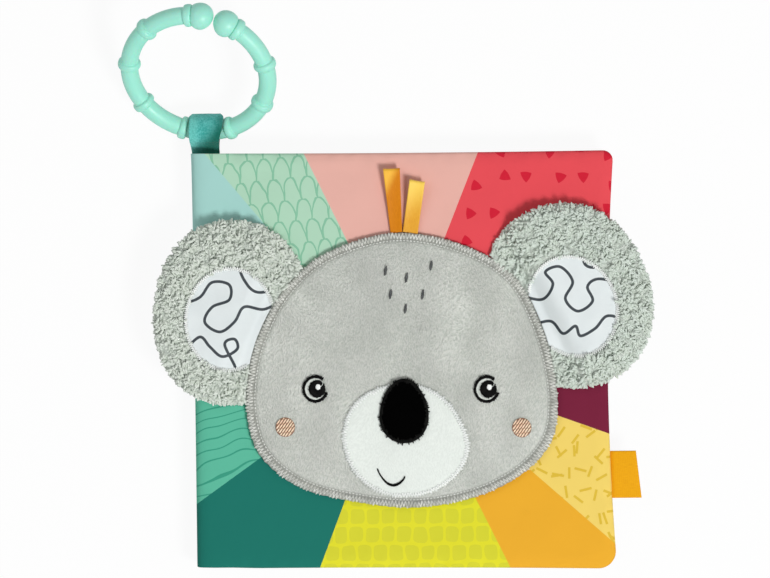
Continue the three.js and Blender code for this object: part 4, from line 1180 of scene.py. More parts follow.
def superellipse(middle, half, lean, power, count):
    angle = np.arange(count) / count * 2 * math.pi
    x = half[0] * np.sign(np.cos(angle)) * abs(np.cos(angle)) ** (2 / power)
    y = half[1] * np.sign(np.sin(angle)) * abs(np.sin(angle)) ** (2 / power)
    turn = math.radians(lean)
    return np.stack([middle[0] + x * math.cos(turn) - y * math.sin(turn),
                     middle[1] + x * math.sin(turn) + y * math.cos(turn)], 1)


class Ear:
    """Where one ear's cloths lie, seen by rays from the middle of its patch."""

    def __init__(self, side, count=420):
        spec = ear_specs[side]
        self.side, self.spec, self.count = side, spec, count
        self.centre = np.array(spec["patch"])
        edge = superellipse(spec["middle"], spec["half"], spec["lean"], 2.15, 1440)
        self.whole = Outline(edge, spec["middle"])
        self.normal = rays(math.radians(spec["heading"]))
        self.angle = np.arange(count) / count * 2 * math.pi
        self.ray = rays(self.angle)
        steps = np.linspace(4, 70, 661)
        spots = self.centre + self.ray[:, None] * steps[None, :, None]
        inside = head_outline.share(spots[..., 0], spots[..., 1]) < 1.002
        self.head_hit = np.where(inside.any(1), steps[inside.argmax(1)], 99.0)
        self.outer = np.minimum(Outline(edge, self.centre).reach(self.angle) - 2.2, self.head_hit)
        turn = self.angle - math.radians(spec["lean"])
        oval = 1 / np.hypot(np.cos(turn) / spec["patch_half"][0], np.sin(turn) / spec["patch_half"][1])
        self.patch = np.minimum(oval, self.outer - 0.12)
        self.open = smoothstep(self.outer - oval, 0.2, 2.5)

    def pile(self, x, y):
        """Height of the fleece tips above the cover."""
        from_fold = np.clip((x * self.normal[0] + y * self.normal[1] - self.spec["fold"]) / 9.0, 0, 1)
        ramp = np.sin(from_fold * math.pi / 2)
        past = np.clip((self.whole.share(x, y) - 0.72) / 0.28, 0, 1)
        full = ear_rim + (ear_height - ear_rim) * np.sqrt(1 - past**2)
        return cover_face + sewn_height + (full - sewn_height) * ramp

    def ring(self, reach, height):
        """One ring of points at a distance from the middle, at a height or on a height function."""
        flat = self.centre + self.ray * reach[:, None]
        z = height(flat[:, 0], flat[:, 1]) if callable(height) else np.broadcast_to(height, (self.count,))
        return np.column_stack([flat, z])

    def floor(self, x, y):
        """Height of the ground under the patch, level at the head and rising softly past the fold."""
        above = self.pile(x, y) - 1.75 - 19.35
        return 19.2 + 0.5 * (above + np.sqrt(above**2 + 1.0))

    def bend(self, obj):
        """Bakes the cloth's transform into its mesh; the cloth is attached to no body."""
        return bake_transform(obj)

    def lay(self, obj, half, share, ground):
        """Does nothing: obj, half, share and ground are not used."""


print("an ear's cloths end", ", ".join(f"{Ear(side).outer.max():.1f} mm" for side in ear_specs), "out")

# %% [markdown]
# The fleece pad is level under the patch, lumpy round it and rolled in at the rim. It stands in for two
# solids of the CAD model, the fleece and the ear's sewn root.


# %% Fleece pad
def make_fleece(ear):
    """The lumpy pad under the curls, from the middle of the patch out over the rim and back below."""
    lower, underside = 0.85, 18.95

    def ground(x, y):
        return ear.floor(x, y) - 0.1

    def lumps(x, y):
        return ear.pile(x, y) - lower + ripple(x, y, 4.2, ear.spec["seed"]) * 0.28

    rings = [ear.ring(ear.patch * share, ground) for share in np.linspace(0.03, 0.97, 40)]
    rings.append(ear.ring(ear.patch - 0.05, ground))
    width = ear.outer - ear.patch
    for share in np.linspace(0.015, 1, 34):
        ring = ear.ring(ear.patch + width * share, ground)
        rise = ear.open * smoothstep(share * width, -0.2, 1.1)
        ring[:, 2] += (lumps(ring[:, 0], ring[:, 1]) - ring[:, 2]) * rise
        rings.append(ring)
    top = rings[-1][:, 2]
    for out, share in ((0.25, 0.25), (0.15, 0.55), (-0.5, 0.82), (-1.4, 0.97)):
        rings.append(ear.ring(ear.outer + out * ear.open, top + (18.45 - top) * share))
    for share in (0.92, 0.6, 0.25):
        rings.append(ear.ring(ear.outer * share, underside))
    first = [*ear.centre, float(ground(*ear.centre))]
    points, faces = ring_pad(rings, first, [*ear.centre, underside])
    name = f"ear_{ear.side}_fleece"
    obj = piece(f"{name}_pad", points, faces, fleece_base.material, slot="ear_fleece",
                replaces=[name, f"ear_{ear.side}_root"])
    ear.bend(obj)


print("the fleece pad's recipe is ready")

# %% [markdown]
# The tufts stand on the pad in loose rows, with a few more round its side. Each tuft leans round the middle
# of its curl, and near the rim it leans outward instead, so the ear ends in a soft fringe.


# %% Tufts and curls
def tuft_roots(ear, draw):
    """Where the tufts stand, which way is up for each, and how close each is to the rim."""
    step = 0.92
    span = np.arange(-46, 46, step)
    x, y = np.meshgrid(span, span * 0.9)
    x = (x + (np.arange(len(span)) % 2)[:, None] * step / 2).ravel() + draw.uniform(-0.45, 0.45, x.size)
    y = y.ravel() + draw.uniform(-0.45, 0.45, x.size)
    spots = ear.centre + np.stack([x, y], 1)
    distance, angle = np.hypot(x, y), np.arctan2(y, x)

    def around(values, at):
        return np.interp(at, ear.angle, values, period=2 * math.pi)

    keep = (distance < around(ear.outer, angle) - 0.1) & (distance > around(ear.patch, angle) + 0.9)
    keep &= (around(ear.open, angle) > 0.15) & (around(ear.head_hit, angle) - distance > 1.0)
    spots, angle = spots[keep], angle[keep]
    clump = ripple(spots[:, 0], spots[:, 1], 5.0, ear.spec["seed"] + 9) * 0.6
    roots = [np.column_stack([spots, ear.pile(spots[:, 0], spots[:, 1]) - 1.45 + clump])]
    rim = smoothstep(ear.whole.share(spots[:, 0], spots[:, 1]), 0.84, 0.98)
    ups = [np.column_stack([rays(angle) * rim[:, None] * 0.8, np.ones(len(angle))])]
    rims, angles = [rim], [angle]
    for level, lower in enumerate((0.3, 0.62, 0.9)):
        turn = (np.arange(150) + level / 3) / 150 * 2 * math.pi + draw.uniform(-0.01, 0.01, 150)
        turn = turn[around(ear.head_hit, turn) - around(ear.outer, turn) > 1.0]
        flat = ear.centre + rays(turn) * (around(ear.outer, turn) - 0.5)[:, None]
        top = ear.pile(flat[:, 0], flat[:, 1]) - 1.0
        roots.append(np.column_stack([flat, top + (18.9 - top) * lower]))
        ups.append(np.column_stack([rays(turn), np.full(len(turn), 0.5 - 0.5 * lower)]))
        rims.append(np.full(len(turn), 0.6))
        angles.append(turn)
    return tuple(np.concatenate(part) for part in (roots, ups, rims, angles))


def curl_centres(ear, roots):
    """The way from each tuft to the middle of its curl, 0 there to 1 between curls, and the curl's turn."""
    draw = np.random.default_rng(ear.spec["seed"] + 31)
    pitch = 4.2
    span = np.arange(-46, 46, pitch)
    x, y = np.meshgrid(span, span * 0.87)
    x = x + (np.arange(len(span)) % 2)[:, None] * pitch / 2
    middles = ear.centre + np.stack([x, y], -1).reshape(-1, 2) + draw.uniform(-0.9, 0.9, (x.size, 2))
    way = middles[None] - roots[:, None, :2]
    gap = np.linalg.norm(way, axis=2)
    nearest = gap.argmin(1)
    rows = np.arange(len(roots))
    turn = np.where(draw.uniform(0, 1, len(middles)) < 0.5, 1.0, -1.0)[nearest]
    return way[rows, nearest], np.clip(gap[rows, nearest] / (pitch * 0.6), 0, 1), turn


def make_curls(ear):
    """Flame-shaped tufts over the fleece, gathered into small whorls as in washed wool."""
    draw = np.random.default_rng(ear.spec["seed"])
    roots, ups, rim, angle = tuft_roots(ear, draw)
    total, stations = len(roots), 5
    way, between, turn = curl_centres(ear, roots)
    roots[:, 2] += (0.45 - between**2) * 1.15 * (1 - rim)
    up = unit_rows(ups + draw.normal(0, 0.1, ups.shape))
    swirl = ripple(roots[:, 0], roots[:, 1], 10.0, ear.spec["seed"] + 4) * 2.6 + draw.normal(0, 0.3, total)
    whorl = way + np.stack([-way[:, 1], way[:, 0]], 1) * turn[:, None] * 0.9
    wild = unit_rows(rays(swirl) * 0.45 + unit_rows(whorl) * between[:, None] * 1.2)
    outward = np.stack([wave(angle + draw.normal(0, 0.6, total)) for wave in (np.cos, np.sin)], 1)
    level = wild * (1 - rim)[:, None] + outward * rim[:, None] * 1.3
    lean = unit_rows(np.column_stack([level, np.zeros(total)]))
    first = unit_rows(lean - (lean * up).sum(1, keepdims=True) * up)
    second = np.cross(up, first)
    share = np.linspace(0, 1, stations)[None]
    bend = (draw.uniform(-0.9, 0.9, (total, 1)) + turn[:, None] * 0.8) * share * (1 - 0.45 * rim[:, None])
    flat_part = 0.5 + 0.46 * share + draw.uniform(-0.1, 0.1, (total, 1))
    rise_part = np.sqrt(np.clip(1 - np.clip(flat_part, 0, 0.98) ** 2, 0, 1))
    step = (first[:, None] * (np.cos(bend) * flat_part)[..., None]
            + second[:, None] * (np.sin(bend) * flat_part)[..., None] + up[:, None] * rise_part[..., None])
    length = draw.uniform(1.9, 3.0, (total, 1, 1)) * (1 - 0.2 * rim[:, None, None]) / (stations - 1)
    paths = roots[:, None] + np.cumsum(step * length, axis=1) - step[:, :1] * length
    width = np.array([0.44, 0.62, 0.68, 0.56, 0.26])[None] * draw.uniform(0.8, 1.2, (total, 1))
    points, faces = tubes(paths, width, width * 0.85, second, 4)
    # Painted shade: tone darkens each tuft towards its root, and clump darkens the tufts between curls.
    tone = np.concatenate([np.repeat(np.linspace(0.0, 1, stations) ** 0.8, 4), [0.0, 1.0]])
    clump = 1.08 - 0.75 * between[:, None] ** 2 + 0.1 * ripple(roots[:, 0], roots[:, 1], 5.5, 21)[:, None]
    marks = (tone[None] * draw.uniform(0.75, 1.0, (total, 1)) * clump).ravel()
    obj = piece(f"ear_{ear.side}_curls", points, faces, fleece_tuft.material, marks={"tuft": marks},
                slot="ear_fleece")
    ear.bend(obj)
    print(f"ear_{ear.side}: {total} tufts, {len(faces)} faces")


print("the curls' recipe is ready")

# %% [markdown]
# The patch print is a loose scribble in a dark line, drawn here as a smooth curve through a few points of
# our own. Each point of the patch mesh carries its distance to that line, and the finish turns the distance
# into ink, which keeps the line sharp however the cloth bends.

# %% Ear patches and backs
scribbles = {
    "left": [
        [(-20, 6), (-12, 9), (-7, 15), (0, 14), (0, 8), (-7, 5), (-10, -1), (-4, -5), (2, -1), (6, 5),
         (14, 4), (22, 8)],
        [(-18, -12), (-12, -7), (-8, -11), (-3, -15), (3, -12), (2, -8), (-2, -10), (2, -19), (4, -26)],
        [(3, 24), (6, 16), (11, 11), (20, 12)],
    ],
    "right": [
        [(-20, 4), (-12, 3), (-8, 9), (-11, 14), (-5, 16), (0, 10), (-3, 3), (2, -2), (8, 2), (6, 8),
         (11, 11), (22, 8)],
        [(-18, -8), (-9, -6), (-4, -11), (1, -8), (3, -12), (9, -9), (14, -4), (22, -6)],
        [(4, 24), (5, 17), (10, 16), (14, 22)],
    ],
}


def open_curve(knots, steps=14):
    knots = np.asarray(knots, float)
    padded = np.concatenate([[2 * knots[0] - knots[1]], knots, [2 * knots[-1] - knots[-2]]])
    line = []
    for i in range(len(knots) - 1):
        p0, p1, p2, p3 = padded[i : i + 4]
        for t in np.arange(steps) / steps:
            line.append(0.5 * (2 * p1 + (p2 - p0) * t + (2 * p0 - 5 * p1 + 4 * p2 - p3) * t**2
                               + (3 * p1 - p0 - 3 * p2 + p3) * t**3))
    return np.array([*line, knots[-1]])


def distance_to_lines(points, lines):
    best = np.full(len(points), 99.0)
    for line in lines:
        for a, b in zip(line[:-1], line[1:]):
            along = np.clip(((points - a) @ (b - a)) / ((b - a) @ (b - a)), 0, 1)
            best = np.minimum(best, np.linalg.norm(points - a - along[:, None] * (b - a), axis=1))
    return best


def make_patch(ear):
    """The patch lies on the ear's floor, and each point of it carries its distance to the scribble."""

    def top(x, y):
        return ear.floor(x, y) + 0.75 + ripple(x, y, 11.0, ear.spec["seed"] + 2) * 0.12

    def under(x, y):
        return ear.floor(x, y) + 0.3

    rings = [ear.ring(ear.patch * share, top) for share in np.linspace(0.015, 0.985, 62)]
    rings.append(ear.ring(ear.patch, lambda x, y: top(x, y) - 0.2))
    rings += [ear.ring(ear.patch * share, under) for share in np.linspace(0.985, 0.03, 40)]
    first, last = ([*ear.centre, float(skin(*ear.centre))] for skin in (top, under))
    points, faces = ring_pad(rings, first, last)
    lines = [open_curve(knots) for knots in scribbles[ear.side]]
    ink_distance = distance_to_lines(points[:, :2] - ear.centre, lines)
    name = f"ear_{ear.side}_patch"
    obj = piece(f"{name}_sewn", points, faces, patch_cloth.material, marks={"ink": ink_distance},
                slot="ear_patch", replaces=[name])
    ear.bend(obj)
    ear.lay(obj, ear.spec["patch_half"], 0.82, "fleece_pad")


print("scribbles:", {side: len(lines) for side, lines in scribbles.items()})

# %% [markdown]
# White thread holds the patch, and a flat cloth closes the ear from below. Then both ears are made.


# %% Patch edge, ear back and both ears
def stitch_patch(ear):
    """White thread from the patch out into the fleece and back, wherever the fleece is open."""
    draw = np.random.default_rng(ear.spec["seed"] + 3)
    holes = np.arange(0, ear.count, 3)
    turns = (holes + 1) % ear.count
    depth = ear.patch[holes] - 0.8 + draw.uniform(-0.2, 0.2, len(holes))
    near = ear.centre + ear.ray[holes] * depth[:, None]
    far = ear.centre + ear.ray[turns] * (ear.patch[turns] + 0.8)[:, None]
    sewn = (ear.open[holes] > 0.3) & (ear.open[(holes + 3) % ear.count] > 0.3)
    starts = np.concatenate([near[sewn], far[sewn]])
    ends = np.concatenate([far[sewn], np.roll(near, -1, 0)[sewn]])
    rim = Outline(ear.centre + ear.ray * ear.patch[:, None], ear.centre)

    def seat(x, y):
        return ear.floor(x, y) + 0.8 + 1.3 * smoothstep(rim.share(x, y), 1.0, 1.04)

    edge = stitches(f"ear_{ear.side}_patch_edge_stitches", starts, ends, seat, 0.4, 0.21, thread_white,
                    "ear_patch", body=None)
    ear.bend(edge)


def make_ear_back(ear):
    """A flat cloth with a rounded rim under the ear."""
    top, bottom, inset = 18.2, 17.62, 0.2
    rings = [ear.ring((ear.outer - inset) * share, top) for share in (0.02, 0.3, 0.6, 0.85, 0.96)]
    for out, height in ((-inset, 18.1), (0.0, 17.9), (-inset, 17.7)):
        rings.append(ear.ring(ear.outer + out, height))
    rings += [ear.ring((ear.outer - inset) * share, bottom) for share in (0.94, 0.7, 0.4, 0.1)]
    points, faces = ring_pad(rings, [*ear.centre, top], [*ear.centre, bottom])
    name = f"ear_{ear.side}_back"
    obj = piece(f"{name}_sewn", points, faces, ear_back_cloth, slot="ear_fleece", replaces=[name])
    ear.bend(obj)
    ear.lay(obj, ear.spec["half"], 0.88, "film")


for side in ear_specs:
    ear = Ear(side)
    make_fleece(ear)
    make_curls(ear)
    make_patch(ear)
    stitch_patch(ear)
    make_ear_back(ear)

# %% [markdown]
# ## Ribbons, side tag and hanger loop
# These are flat tapes folded back on themselves. A tape is laid as a strip along a line seen from the side:
# the line goes out, turns round the fold and comes back, and its thickness is added at the end. The satin
# ribbons stand open a little, the woven tag lies flat, and the cotton loop goes round the ring.


# %% Tapes
def tape(name, line, across, widths, thick, material, body, slot, replaces, waves, columns=14):
    """A strip along a line of space points: across gives the direction of its width at each point."""
    across = unit_rows(np.broadcast_to(across, line.shape))
    span = np.linspace(-0.5, 0.5, columns)
    normal = unit_rows(np.cross(across, unit_rows(np.gradient(line, axis=0))))
    lift = waves(np.linspace(0, 1, len(line))[:, None], span[None] + 0.5)
    centre = line[:, None] + across[:, None] * (span[None, :, None] * widths[:, None, None])
    centre = centre + normal[:, None] * lift[..., None]
    half = normal[:, None] * thick / 2
    points, faces = grid_shell(centre - half, centre + half)
    along = np.concatenate([[0], np.cumsum(np.linalg.norm(np.diff(line, axis=0), axis=1))])
    uv = np.stack(np.broadcast_arrays(span[None] * widths[:, None], along[:, None]), -1).reshape(-1, 2)
    both = np.concatenate([uv, uv])
    return piece(name, points, faces, material, body, uv=both, slot=slot, replaces=replaces), along[-1]


def tape_finish(name, light, dark, rib, roughness, glow, painted_light_at, bump, specular=0.3):
    """Woven tape: ribs across its length, and painted light round one place along it."""
    recipe = Recipe(name, roughness, Specular_IOR_Level=specular)
    across, along = recipe.split(recipe.node("ShaderNodeUVMap", {"uv_map": "along"}))[:2]
    ribs = recipe.math("SINE", along * (2 * math.pi / rib)) * 0.5 + 0.5
    threads = recipe.noise(recipe.join(across * 3.0, along * 0.25), 0.6, 2.0)
    tone = recipe.smooth(threads, 0.3, 0.7) * 0.7 + ribs * 0.3
    colour = recipe.mix(tone, tint(*dark), tint(*light))
    # Painted light: near that place the colour turns to glow, a painted highlight on a ribbon and painted
    # shade on the tag.
    lit = recipe.smooth(abs(along - painted_light_at[0]) + across * painted_light_at[2], painted_light_at[1], 0.0)
    colour = recipe.mix(lit, colour, tint(*glow))
    return recipe.colour(colour).bump(ribs * 0.5 + threads * 0.5, bump, 0.6).material


# The two ribbons are one orange satin: the left one is painted darker, as in shade, and the right one
# lighter, as lit. Each also has a painted highlight towards its fold.
ribbon_satin_in_shade = tape_finish("ribbon_satin_painted_shade", (222, 136, 10), (208, 120, 0), 0.5, 0.5, (250, 190, 66),
                           (27.0, 9.0, 1.8), 0.08, 0.15)
ribbon_satin_in_light = tape_finish("ribbon_satin_painted_light", (240, 178, 54), (228, 156, 34), 0.5, 0.4, (255, 214, 92),
                          (22.5, 18.0, 0.6), 0.08)
# Painted shade: the tag turns darker near the seam.
tag_weave = tape_finish("tag_weave", (240, 172, 6), (230, 158, 0), 0.7, 0.65, (220, 132, 0),
                        (0.0, 2.6, 0.0), 0.12, 0.15)


def felt_finish():
    """Brushed cotton of the hanger loop, no visible weave, with a painted highlight left and painted shade
    lower right.
    """
    recipe = Recipe("loop_cotton", 0.95, Sheen_Weight=0.2, Sheen_Roughness=0.5, Specular_IOR_Level=0.1)
    point = recipe.place()
    fuzz = recipe.noise(point, 0.75, 3.0, 0.7)
    tone = recipe.smooth(fuzz * 0.7 + recipe.noise(point, 3.2, 2.0) * 0.3, 0.38, 0.6)
    colour = recipe.mix(tone, tint(66, 176, 168), tint(108, 208, 202))
    x, y = recipe.split(point)[:2]
    # Painted highlight: a lighter strip along the loop's left side.
    colour = recipe.mix(recipe.smooth(x, -82.4, -85.4) * 0.3, colour, tint(150, 242, 228))
    # Painted shade: darker towards the loop's lower right, where it turns under.
    shade = recipe.smooth(x * 0.84 - y * 0.7, -135.5, -127.5) * 0.95
    return recipe.colour(recipe.mix(shade, colour, tint(14, 104, 88))).bump(fuzz, 0.5, 0.9).material


loop_cotton = felt_finish()
print("tape finishes are ready")

# %% [markdown]
# A ribbon is folded once, at its outer end. Its line is drawn from the side, and its tip is set a little to
# the left or right of its foot, so that the two ribbons lean apart.


# %% Ribbons
def loop_profile(length, low, high, lift, belly, count=44):
    """Side view of a folded ribbon: out along the lower layer, round the fold and back on the upper one."""
    share = np.linspace(0, 1, count)
    fold = belly / 2
    run = length - fold
    rise = lift * share**2
    lower = np.stack([share * run, low + rise * 0.92], 1)
    upper = np.stack([share * run, high + rise + (belly - (high - low)) * smoothstep(share, 0.25, 1.0)], 1)
    middle = (lower[-1] + upper[-1]) / 2
    radius = (upper[-1, 1] - lower[-1, 1]) / 2
    angle = np.linspace(-math.pi / 2, math.pi / 2, 14)[1:-1]
    turn = middle + radius * np.stack([np.cos(angle), np.sin(angle)], 1)
    return np.concatenate([lower, turn, upper[::-1]])


ribbons = {
    "ribbon_left": {"x": -3.6, "tip": -5.4, "length": 26.0, "width": (4.8, 6.8), "finish": ribbon_satin_in_shade},
    "ribbon_right": {"x": 2.0, "tip": 5.0, "length": 21.0, "width": (6.1, 6.3), "finish": ribbon_satin_in_light},
}
ribbon_base = 51.8
for name, spec in ribbons.items():
    profile = loop_profile(spec["length"], 0.55, 1.15, 2.6, 1.9)
    share = profile[:, 0] / spec["length"]
    x = spec["x"] + (spec["tip"] - spec["x"]) * share
    line = np.stack([x, ribbon_base + profile[:, 0], cover_face + profile[:, 1]], 1)
    widths = spec["width"][0] + (spec["width"][1] - spec["width"][0]) * share
    side = np.array([1.0, -(spec["tip"] - spec["x"]) / spec["length"], 0])
    ribbon, cut = tape(
        f"{name}_satin", line, side, widths, 0.32, spec["finish"], name, "ribbon_satin", [name],
        waves=lambda along, over: 0.16 * np.sin(over * math.pi) + 0.1 * np.sin(along * 9) * np.cos(over * 3),
    )
    print(name, "is cut", round(cut, 1), "mm long")

# %% [markdown]
# The tag is a tape folded at its outer end, with both ends sewn into the seam, where it is pressed thin. Its
# transform is baked into its mesh, and it is attached to no body.


# %% Side tag
def make_tag():
    """The tag starts inside the seam, and its outer edge slants, so each column has its own length."""
    columns, seam, half_gap = 30, 81.6, 0.34
    y = np.linspace(-37.1, -56.2, columns)
    reach = np.linspace(92.5, 94.7, columns) - seam
    layer = np.linspace(0, 0.9, 20)
    turn = np.linspace(0, math.pi, 9)[1:-1]
    out = np.concatenate([layer, 0.9 + 0.1 * np.sin(turn), layer[::-1]])
    height = np.concatenate([np.full(20, half_gap), half_gap * np.cos(turn), np.full(20, -half_gap)])
    slim = smoothstep(out * 11, 0.4, 2.4)
    height = height * (0.35 + 0.65 * slim)
    x = seam + out[:, None] * reach[None]
    curl = 0.22 * np.sin(y / 19 * 5)[None] * (out * slim)[:, None]
    centre = np.stack([x, np.broadcast_to(y, x.shape), 15.0 + height[:, None] + curl], -1)
    tangent = unit_rows(np.gradient(centre, axis=0))
    normal = unit_rows(np.cross(np.gradient(centre, axis=1), tangent))
    thick = (0.07 + 0.15 * slim)[:, None, None]
    points, faces = grid_shell(centre - normal * thick, centre + normal * thick)
    uv = np.stack(np.broadcast_arrays(y[None], out[:, None] * 11), -1).reshape(-1, 2)
    tag = piece("side_tag_woven", points, faces, tag_weave, slot="tag_tape", replaces=["side_tag"],
                uv=np.concatenate([uv, uv]))
    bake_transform(tag)


make_tag()
print("the side tag is sewn in")

# %% [markdown]
# The hanger loop goes round the bar of the ring and back into the spine. Its line is drawn in a frame of its
# own: along the spine, up from it, and across for the width. The cloth is gathered into folds at its foot.

# %% Hanger loop
bar_place = np.array([-80.4, 93.8, 8.65])
loop_across = np.array([0.9766, 0, 0.2152])
loop_up = np.array([-0.2152, 0, 0.9766])
loop_along = np.array([0, 1.0, 0])


def make_hanger():
    """An arc round the bar, two slopes down to the seam, and the cotton laid along them."""
    radius, turn = 6.5, math.radians(126.0)
    arc = radius * rays(np.linspace(-turn, turn, 64))
    root = np.array([-8.9, 0.75])
    slope = arc[-1] + (root - arc[-1]) * np.linspace(0, 1, 22)[1:, None]
    slope[:, 1] -= 0.5 * np.sin(np.linspace(0, math.pi, 21))
    flat = evenly(np.concatenate([slope[::-1] * (1, -1), arc, slope]), 130, closed=False)
    near_root = smoothstep(flat[:, 0], 3.0, -8.0)
    line = bar_place + loop_along * flat[:, :1] + loop_up * flat[:, 1:]
    line += loop_across * (1.25 * smoothstep(flat[:, 1:], -2.0, 4.0) * (1 - near_root[:, None]))
    line += loop_across * (0.32 * np.minimum(flat[:, 1:] - 0.5, 0))
    widths = 13.9 - 2.6 * near_root - 2.6 * smoothstep(flat[:, 0], 4.9, 6.6) ** 1.5

    def folds(along, over):
        depth = 0.05 + 0.2 * near_root[:, None]
        return depth * (np.sin(over * 8.5 + 0.7) * 0.6 + np.sin(over * 15 + along * 4) * 0.3)

    loop, cut = tape("hanger_loop_cotton", line, loop_across, widths, 1.3, loop_cotton, None, "loop_webbing",
                     ["hanger_loop", "loop_anchor"], folds, columns=30)
    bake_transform(loop)
    print("hanger loop is cut", round(cut, 1), "mm long")


make_hanger()

# %% [markdown]
# ## Ring
# The ring is moulded in a slightly clear mint plastic. It starts as a torus with one station too many, and
# the faces at that station are deleted to open it. Each station then gets its own angle and radius, which
# draws the gap, the nine ribs and the two balls. Last, its ends are closed and it is rounded once.

# %% Ring shape
ring_centre = np.array([-83.116, 116.946, 24.964])
ring_turn = Matrix.Rotation(math.radians(-17.5), 4, "Z") @ Matrix.Rotation(math.radians(37.7), 4, "X")
ring_radius, bar_radius, rib_radius, ball_radius = 28.5, 3.65, 4.75, 5.25
gap_at, ball_share = 90.7, 0.637


def ring_radius_at(angle):
    """Radius of the bar at an angle round the ring in degrees, and the angles of its two tips."""
    per_length = 180 / (math.pi * ring_radius)
    ball_reach = ball_radius * per_length
    ball_offset = (ball_radius + 0.15) * per_length
    start, end = gap_at + ball_offset, gap_at - ball_offset + 360
    rib_half = 1.6 * per_length
    first = start + ball_share * ball_reach + rib_half
    last = end - ball_share * ball_reach - rib_half
    radius = np.full(angle.shape, bar_radius)
    for centre in np.linspace(first, last, 9):
        place = abs(angle - centre) / rib_half
        bead = bar_radius + (rib_radius - bar_radius) * np.clip(1 - place**4, 0, 1) ** 0.6
        groove = 0.24 * np.exp(-(((place - 1.1) / 0.13) ** 2))
        radius = np.where(place < 1, bead, radius) - groove
    for centre, sign in ((start, 1), (end, -1)):
        offset = (angle - centre) / ball_reach
        ball = np.sqrt(np.clip(1 - offset**2, 0.0, 1)) * (ball_radius + 0.36)
        radius = np.where(offset * sign < ball_share, ball, radius)
    return radius, start - ball_reach, end + ball_reach


def ring_stations(count):
    """Angles round the ring, closer together where the radius changes fast."""
    _, low, high = ring_radius_at(np.array([200.0]))
    fine = np.linspace(low + 0.04, high - 0.04, 6000)
    radii = ring_radius_at(fine)[0]
    step = np.hypot(np.diff(np.radians(fine)) * ring_radius, np.diff(radii) * 2.2)
    return np.interp(np.linspace(0, step.sum(), count), np.concatenate([[0], np.cumsum(step)]), fine)


print("ring is", 2 * (ring_radius + rib_radius), "mm across its ribs")

# %% [markdown]
# Blender's own torus, edit mode and subdivision make the mesh. The faces across the gap go before the points
# move, and the two holes are filled after it.


# %% Moulded ring
def make_ring():
    """A torus opened at one station, with every station set to its own angle and radius."""
    stations, sides = 255, 24
    angles = ring_stations(stations)
    radii = ring_radius_at(angles)[0]
    bpy.ops.object.select_all(action="DESELECT")
    bpy.ops.mesh.primitive_torus_add(
        major_segments=stations + 1, minor_segments=sides, major_radius=ring_radius * MM,
        minor_radius=bar_radius * MM,
    )
    ring = bpy.context.object
    ring.name = "ring_moulded"
    mesh = ring.data
    around = np.arange(sides) / sides * 2 * math.pi
    in_gap = [any(v // sides == stations for v in face.vertices) for face in mesh.polygons]
    for kind in (mesh.vertices, mesh.edges):
        kind.foreach_set("select", [False] * len(kind))
    mesh.polygons.foreach_set("select", in_gap)
    bpy.ops.object.mode_set(mode="EDIT")
    bpy.ops.mesh.select_mode(type="FACE")
    bpy.ops.mesh.delete(type="FACE")
    bpy.ops.object.mode_set(mode="OBJECT")
    radian = np.radians(angles)[:, None]
    out = ring_radius + radii[:, None] * np.cos(around)
    rise = radii[:, None] * np.sin(around)
    spots = np.stack([np.cos(radian) * out, np.sin(radian) * out, rise], -1)
    mesh.vertices.foreach_set("co", (spots * MM).ravel())
    bpy.ops.object.mode_set(mode="EDIT")
    bpy.ops.mesh.select_mode(type="EDGE")
    bpy.ops.mesh.select_all(action="DESELECT")
    bpy.ops.mesh.select_non_manifold()
    bpy.ops.mesh.edge_face_add()
    bpy.ops.mesh.select_all(action="SELECT")
    bpy.ops.mesh.normals_make_consistent(inside=False)
    bpy.ops.object.mode_set(mode="OBJECT")
    ring.modifiers.new("rounder", "SUBSURF").levels = 1
    bpy.ops.object.modifier_apply(modifier="rounder")
    ring.data.transform(Matrix.Translation(Vector(ring_centre) * MM) @ ring_turn)
    ring.data.polygons.foreach_set("use_smooth", [True] * len(ring.data.polygons))
    return ring


mint = Recipe("ring_mint_plastic", Specular_IOR_Level=0.45, Subsurface_Weight=0.12, Subsurface_Scale=0.003)
mint_point = mint.place()
mint.colour(mint.mix(mint.noise(mint_point, 20.0), tint(157, 234, 213), tint(170, 241, 222)))
mint.feed("Roughness", mint.smooth(mint.noise(mint_point, 3.0, 3.0), 0.2, 0.8) * 0.12 + 0.34)
mint.bump(mint.noise(mint_point, 1.6, 2.0), 0.05, 0.3)
moulded_ring = make_ring()
moulded_ring.data.materials.append(mint.material)
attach(moulded_ring, "ring")
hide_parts("ring")
print("ring has", len(moulded_ring.data.polygons), "faces")

# %% [markdown]
# ## What stays from the CAD model
# The crinkle films and the waddings are shut inside the sewn pillows and ears, and the head's backing lies
# under its plush. Nobody sees them, so their solids stay, and only their finish is new.


# %% Finishes for the kept solids
def film_finish():
    """Film with creases: the lines between the cells of a scatter."""
    recipe = Recipe("crinkle_film", 0.25, Specular_IOR_Level=0.6)
    values = {"Vector": recipe.place(), "Scale": 1 / 6.0}
    creases = recipe.node("ShaderNodeTexVoronoi", {"feature": "DISTANCE_TO_EDGE"}, values, "Distance")
    # Painted shade: the film is darker along its creases.
    colour = recipe.mix(recipe.smooth(creases, 0.0, 0.3), tint(190, 198, 204), tint(224, 229, 233))
    return recipe.colour(colour).bump(creases, 0.6, 0.8).material


def wadding_finish():
    """Fibres that run mostly one way."""
    recipe = Recipe("wadding_fibre", 0.98, Sheen_Weight=0.3, Specular_IOR_Level=0.1)
    drawn_out = recipe.vector("MULTIPLY", recipe.place(), (0.3, 1.0, 1.0))
    fibres = recipe.noise(drawn_out, 0.8, 4.0, 0.7)
    colour = recipe.mix(fibres, tint(232, 232, 228), tint(250, 250, 248))
    return recipe.colour(colour).bump(fibres, 0.6, 0.8).material


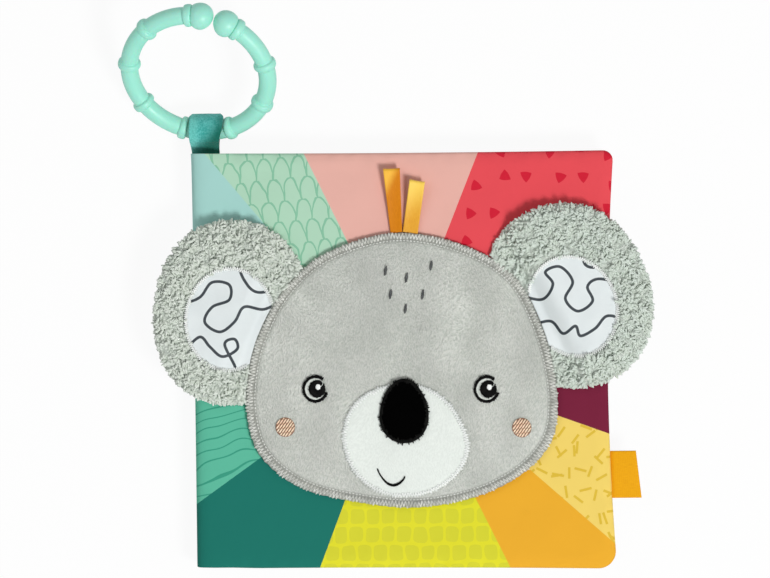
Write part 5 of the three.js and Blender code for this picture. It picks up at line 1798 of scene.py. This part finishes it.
finishes = {"_film": film_finish(), "_wadding": wadding_finish(), "head_backing": head_backing}
for ending, material in finishes.items():
    kept = [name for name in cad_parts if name.endswith(ending)]
    for name in kept:
        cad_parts[name].data.materials.clear()
        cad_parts[name].data.materials.append(material)
    print(material.name, "is on", ", ".join(kept))

# %% [markdown]
# ## Floor, light and background
# The photograph has a white ground and soft light that comes mostly from the lower right. The floor takes
# the object's shadow, and part of its white shows only to the camera, so it reads as white without more
# light on the cloth.

# %% Floor and light
floor_mesh = bpy.data.meshes.new("floor")
floor_reach = 3.0
corners = [(x * floor_reach, y * floor_reach, 0) for x, y in ((-1, -1), (1, -1), (1, 1), (-1, 1))]
floor_mesh.from_pydata(corners, [], [(0, 1, 2, 3)])
floor = bpy.data.objects.new("floor", floor_mesh)
floor.location.z = -0.0004
bpy.context.scene.collection.objects.link(floor)
paper = Recipe("floor_paper", 0.9, Specular_IOR_Level=0.1)
paper.shader.inputs["Base Color"].default_value = (0.86, 0.86, 0.86, 1)
seen = paper.node("ShaderNodeLightPath", output="Is Camera Ray")
lit_paper = Wire(paper, paper.shader.outputs[0])
glow = paper.node("ShaderNodeEmission", values={"Color": (1, 1, 1, 1), "Strength": 1.0})
mixed = paper.node("ShaderNodeMixShader", values={0: seen * 0.93, 1: lit_paper, 2: glow})
paper.tree.links.new(mixed.socket, paper.tree.nodes["Material Output"].inputs["Surface"])
floor_mesh.materials.append(paper.material)


def soft_lamp(name, place, size, energy):
    """A round lamp, its size in metres and its power in watts, that looks at the middle of the book."""
    data = bpy.data.lights.new(name, "AREA")
    data.shape = "DISK"
    data.size = size
    data.energy = energy
    lamp = bpy.data.objects.new(name, data)
    lamp.location = place
    lamp.rotation_mode = "QUATERNION"
    lamp.rotation_quaternion = (Vector(place) * -1).to_track_quat("-Z", "Y")
    bpy.context.scene.collection.objects.link(lamp)


soft_lamp("key", (0.74, -0.74, 1.7), 0.55, 26.5)
soft_lamp("fill", (-1.2, 0.6, 1.7), 1.6, 6.0)
world = bpy.data.worlds.new("studio")
bpy.context.scene.world = world
world.use_nodes = True
sky = world.node_tree.nodes["Background"]
sky.inputs["Color"].default_value = (1, 1, 1, 1)
sky.inputs["Strength"].default_value = 0.34
bpy.context.scene.view_settings.view_transform = "Standard"
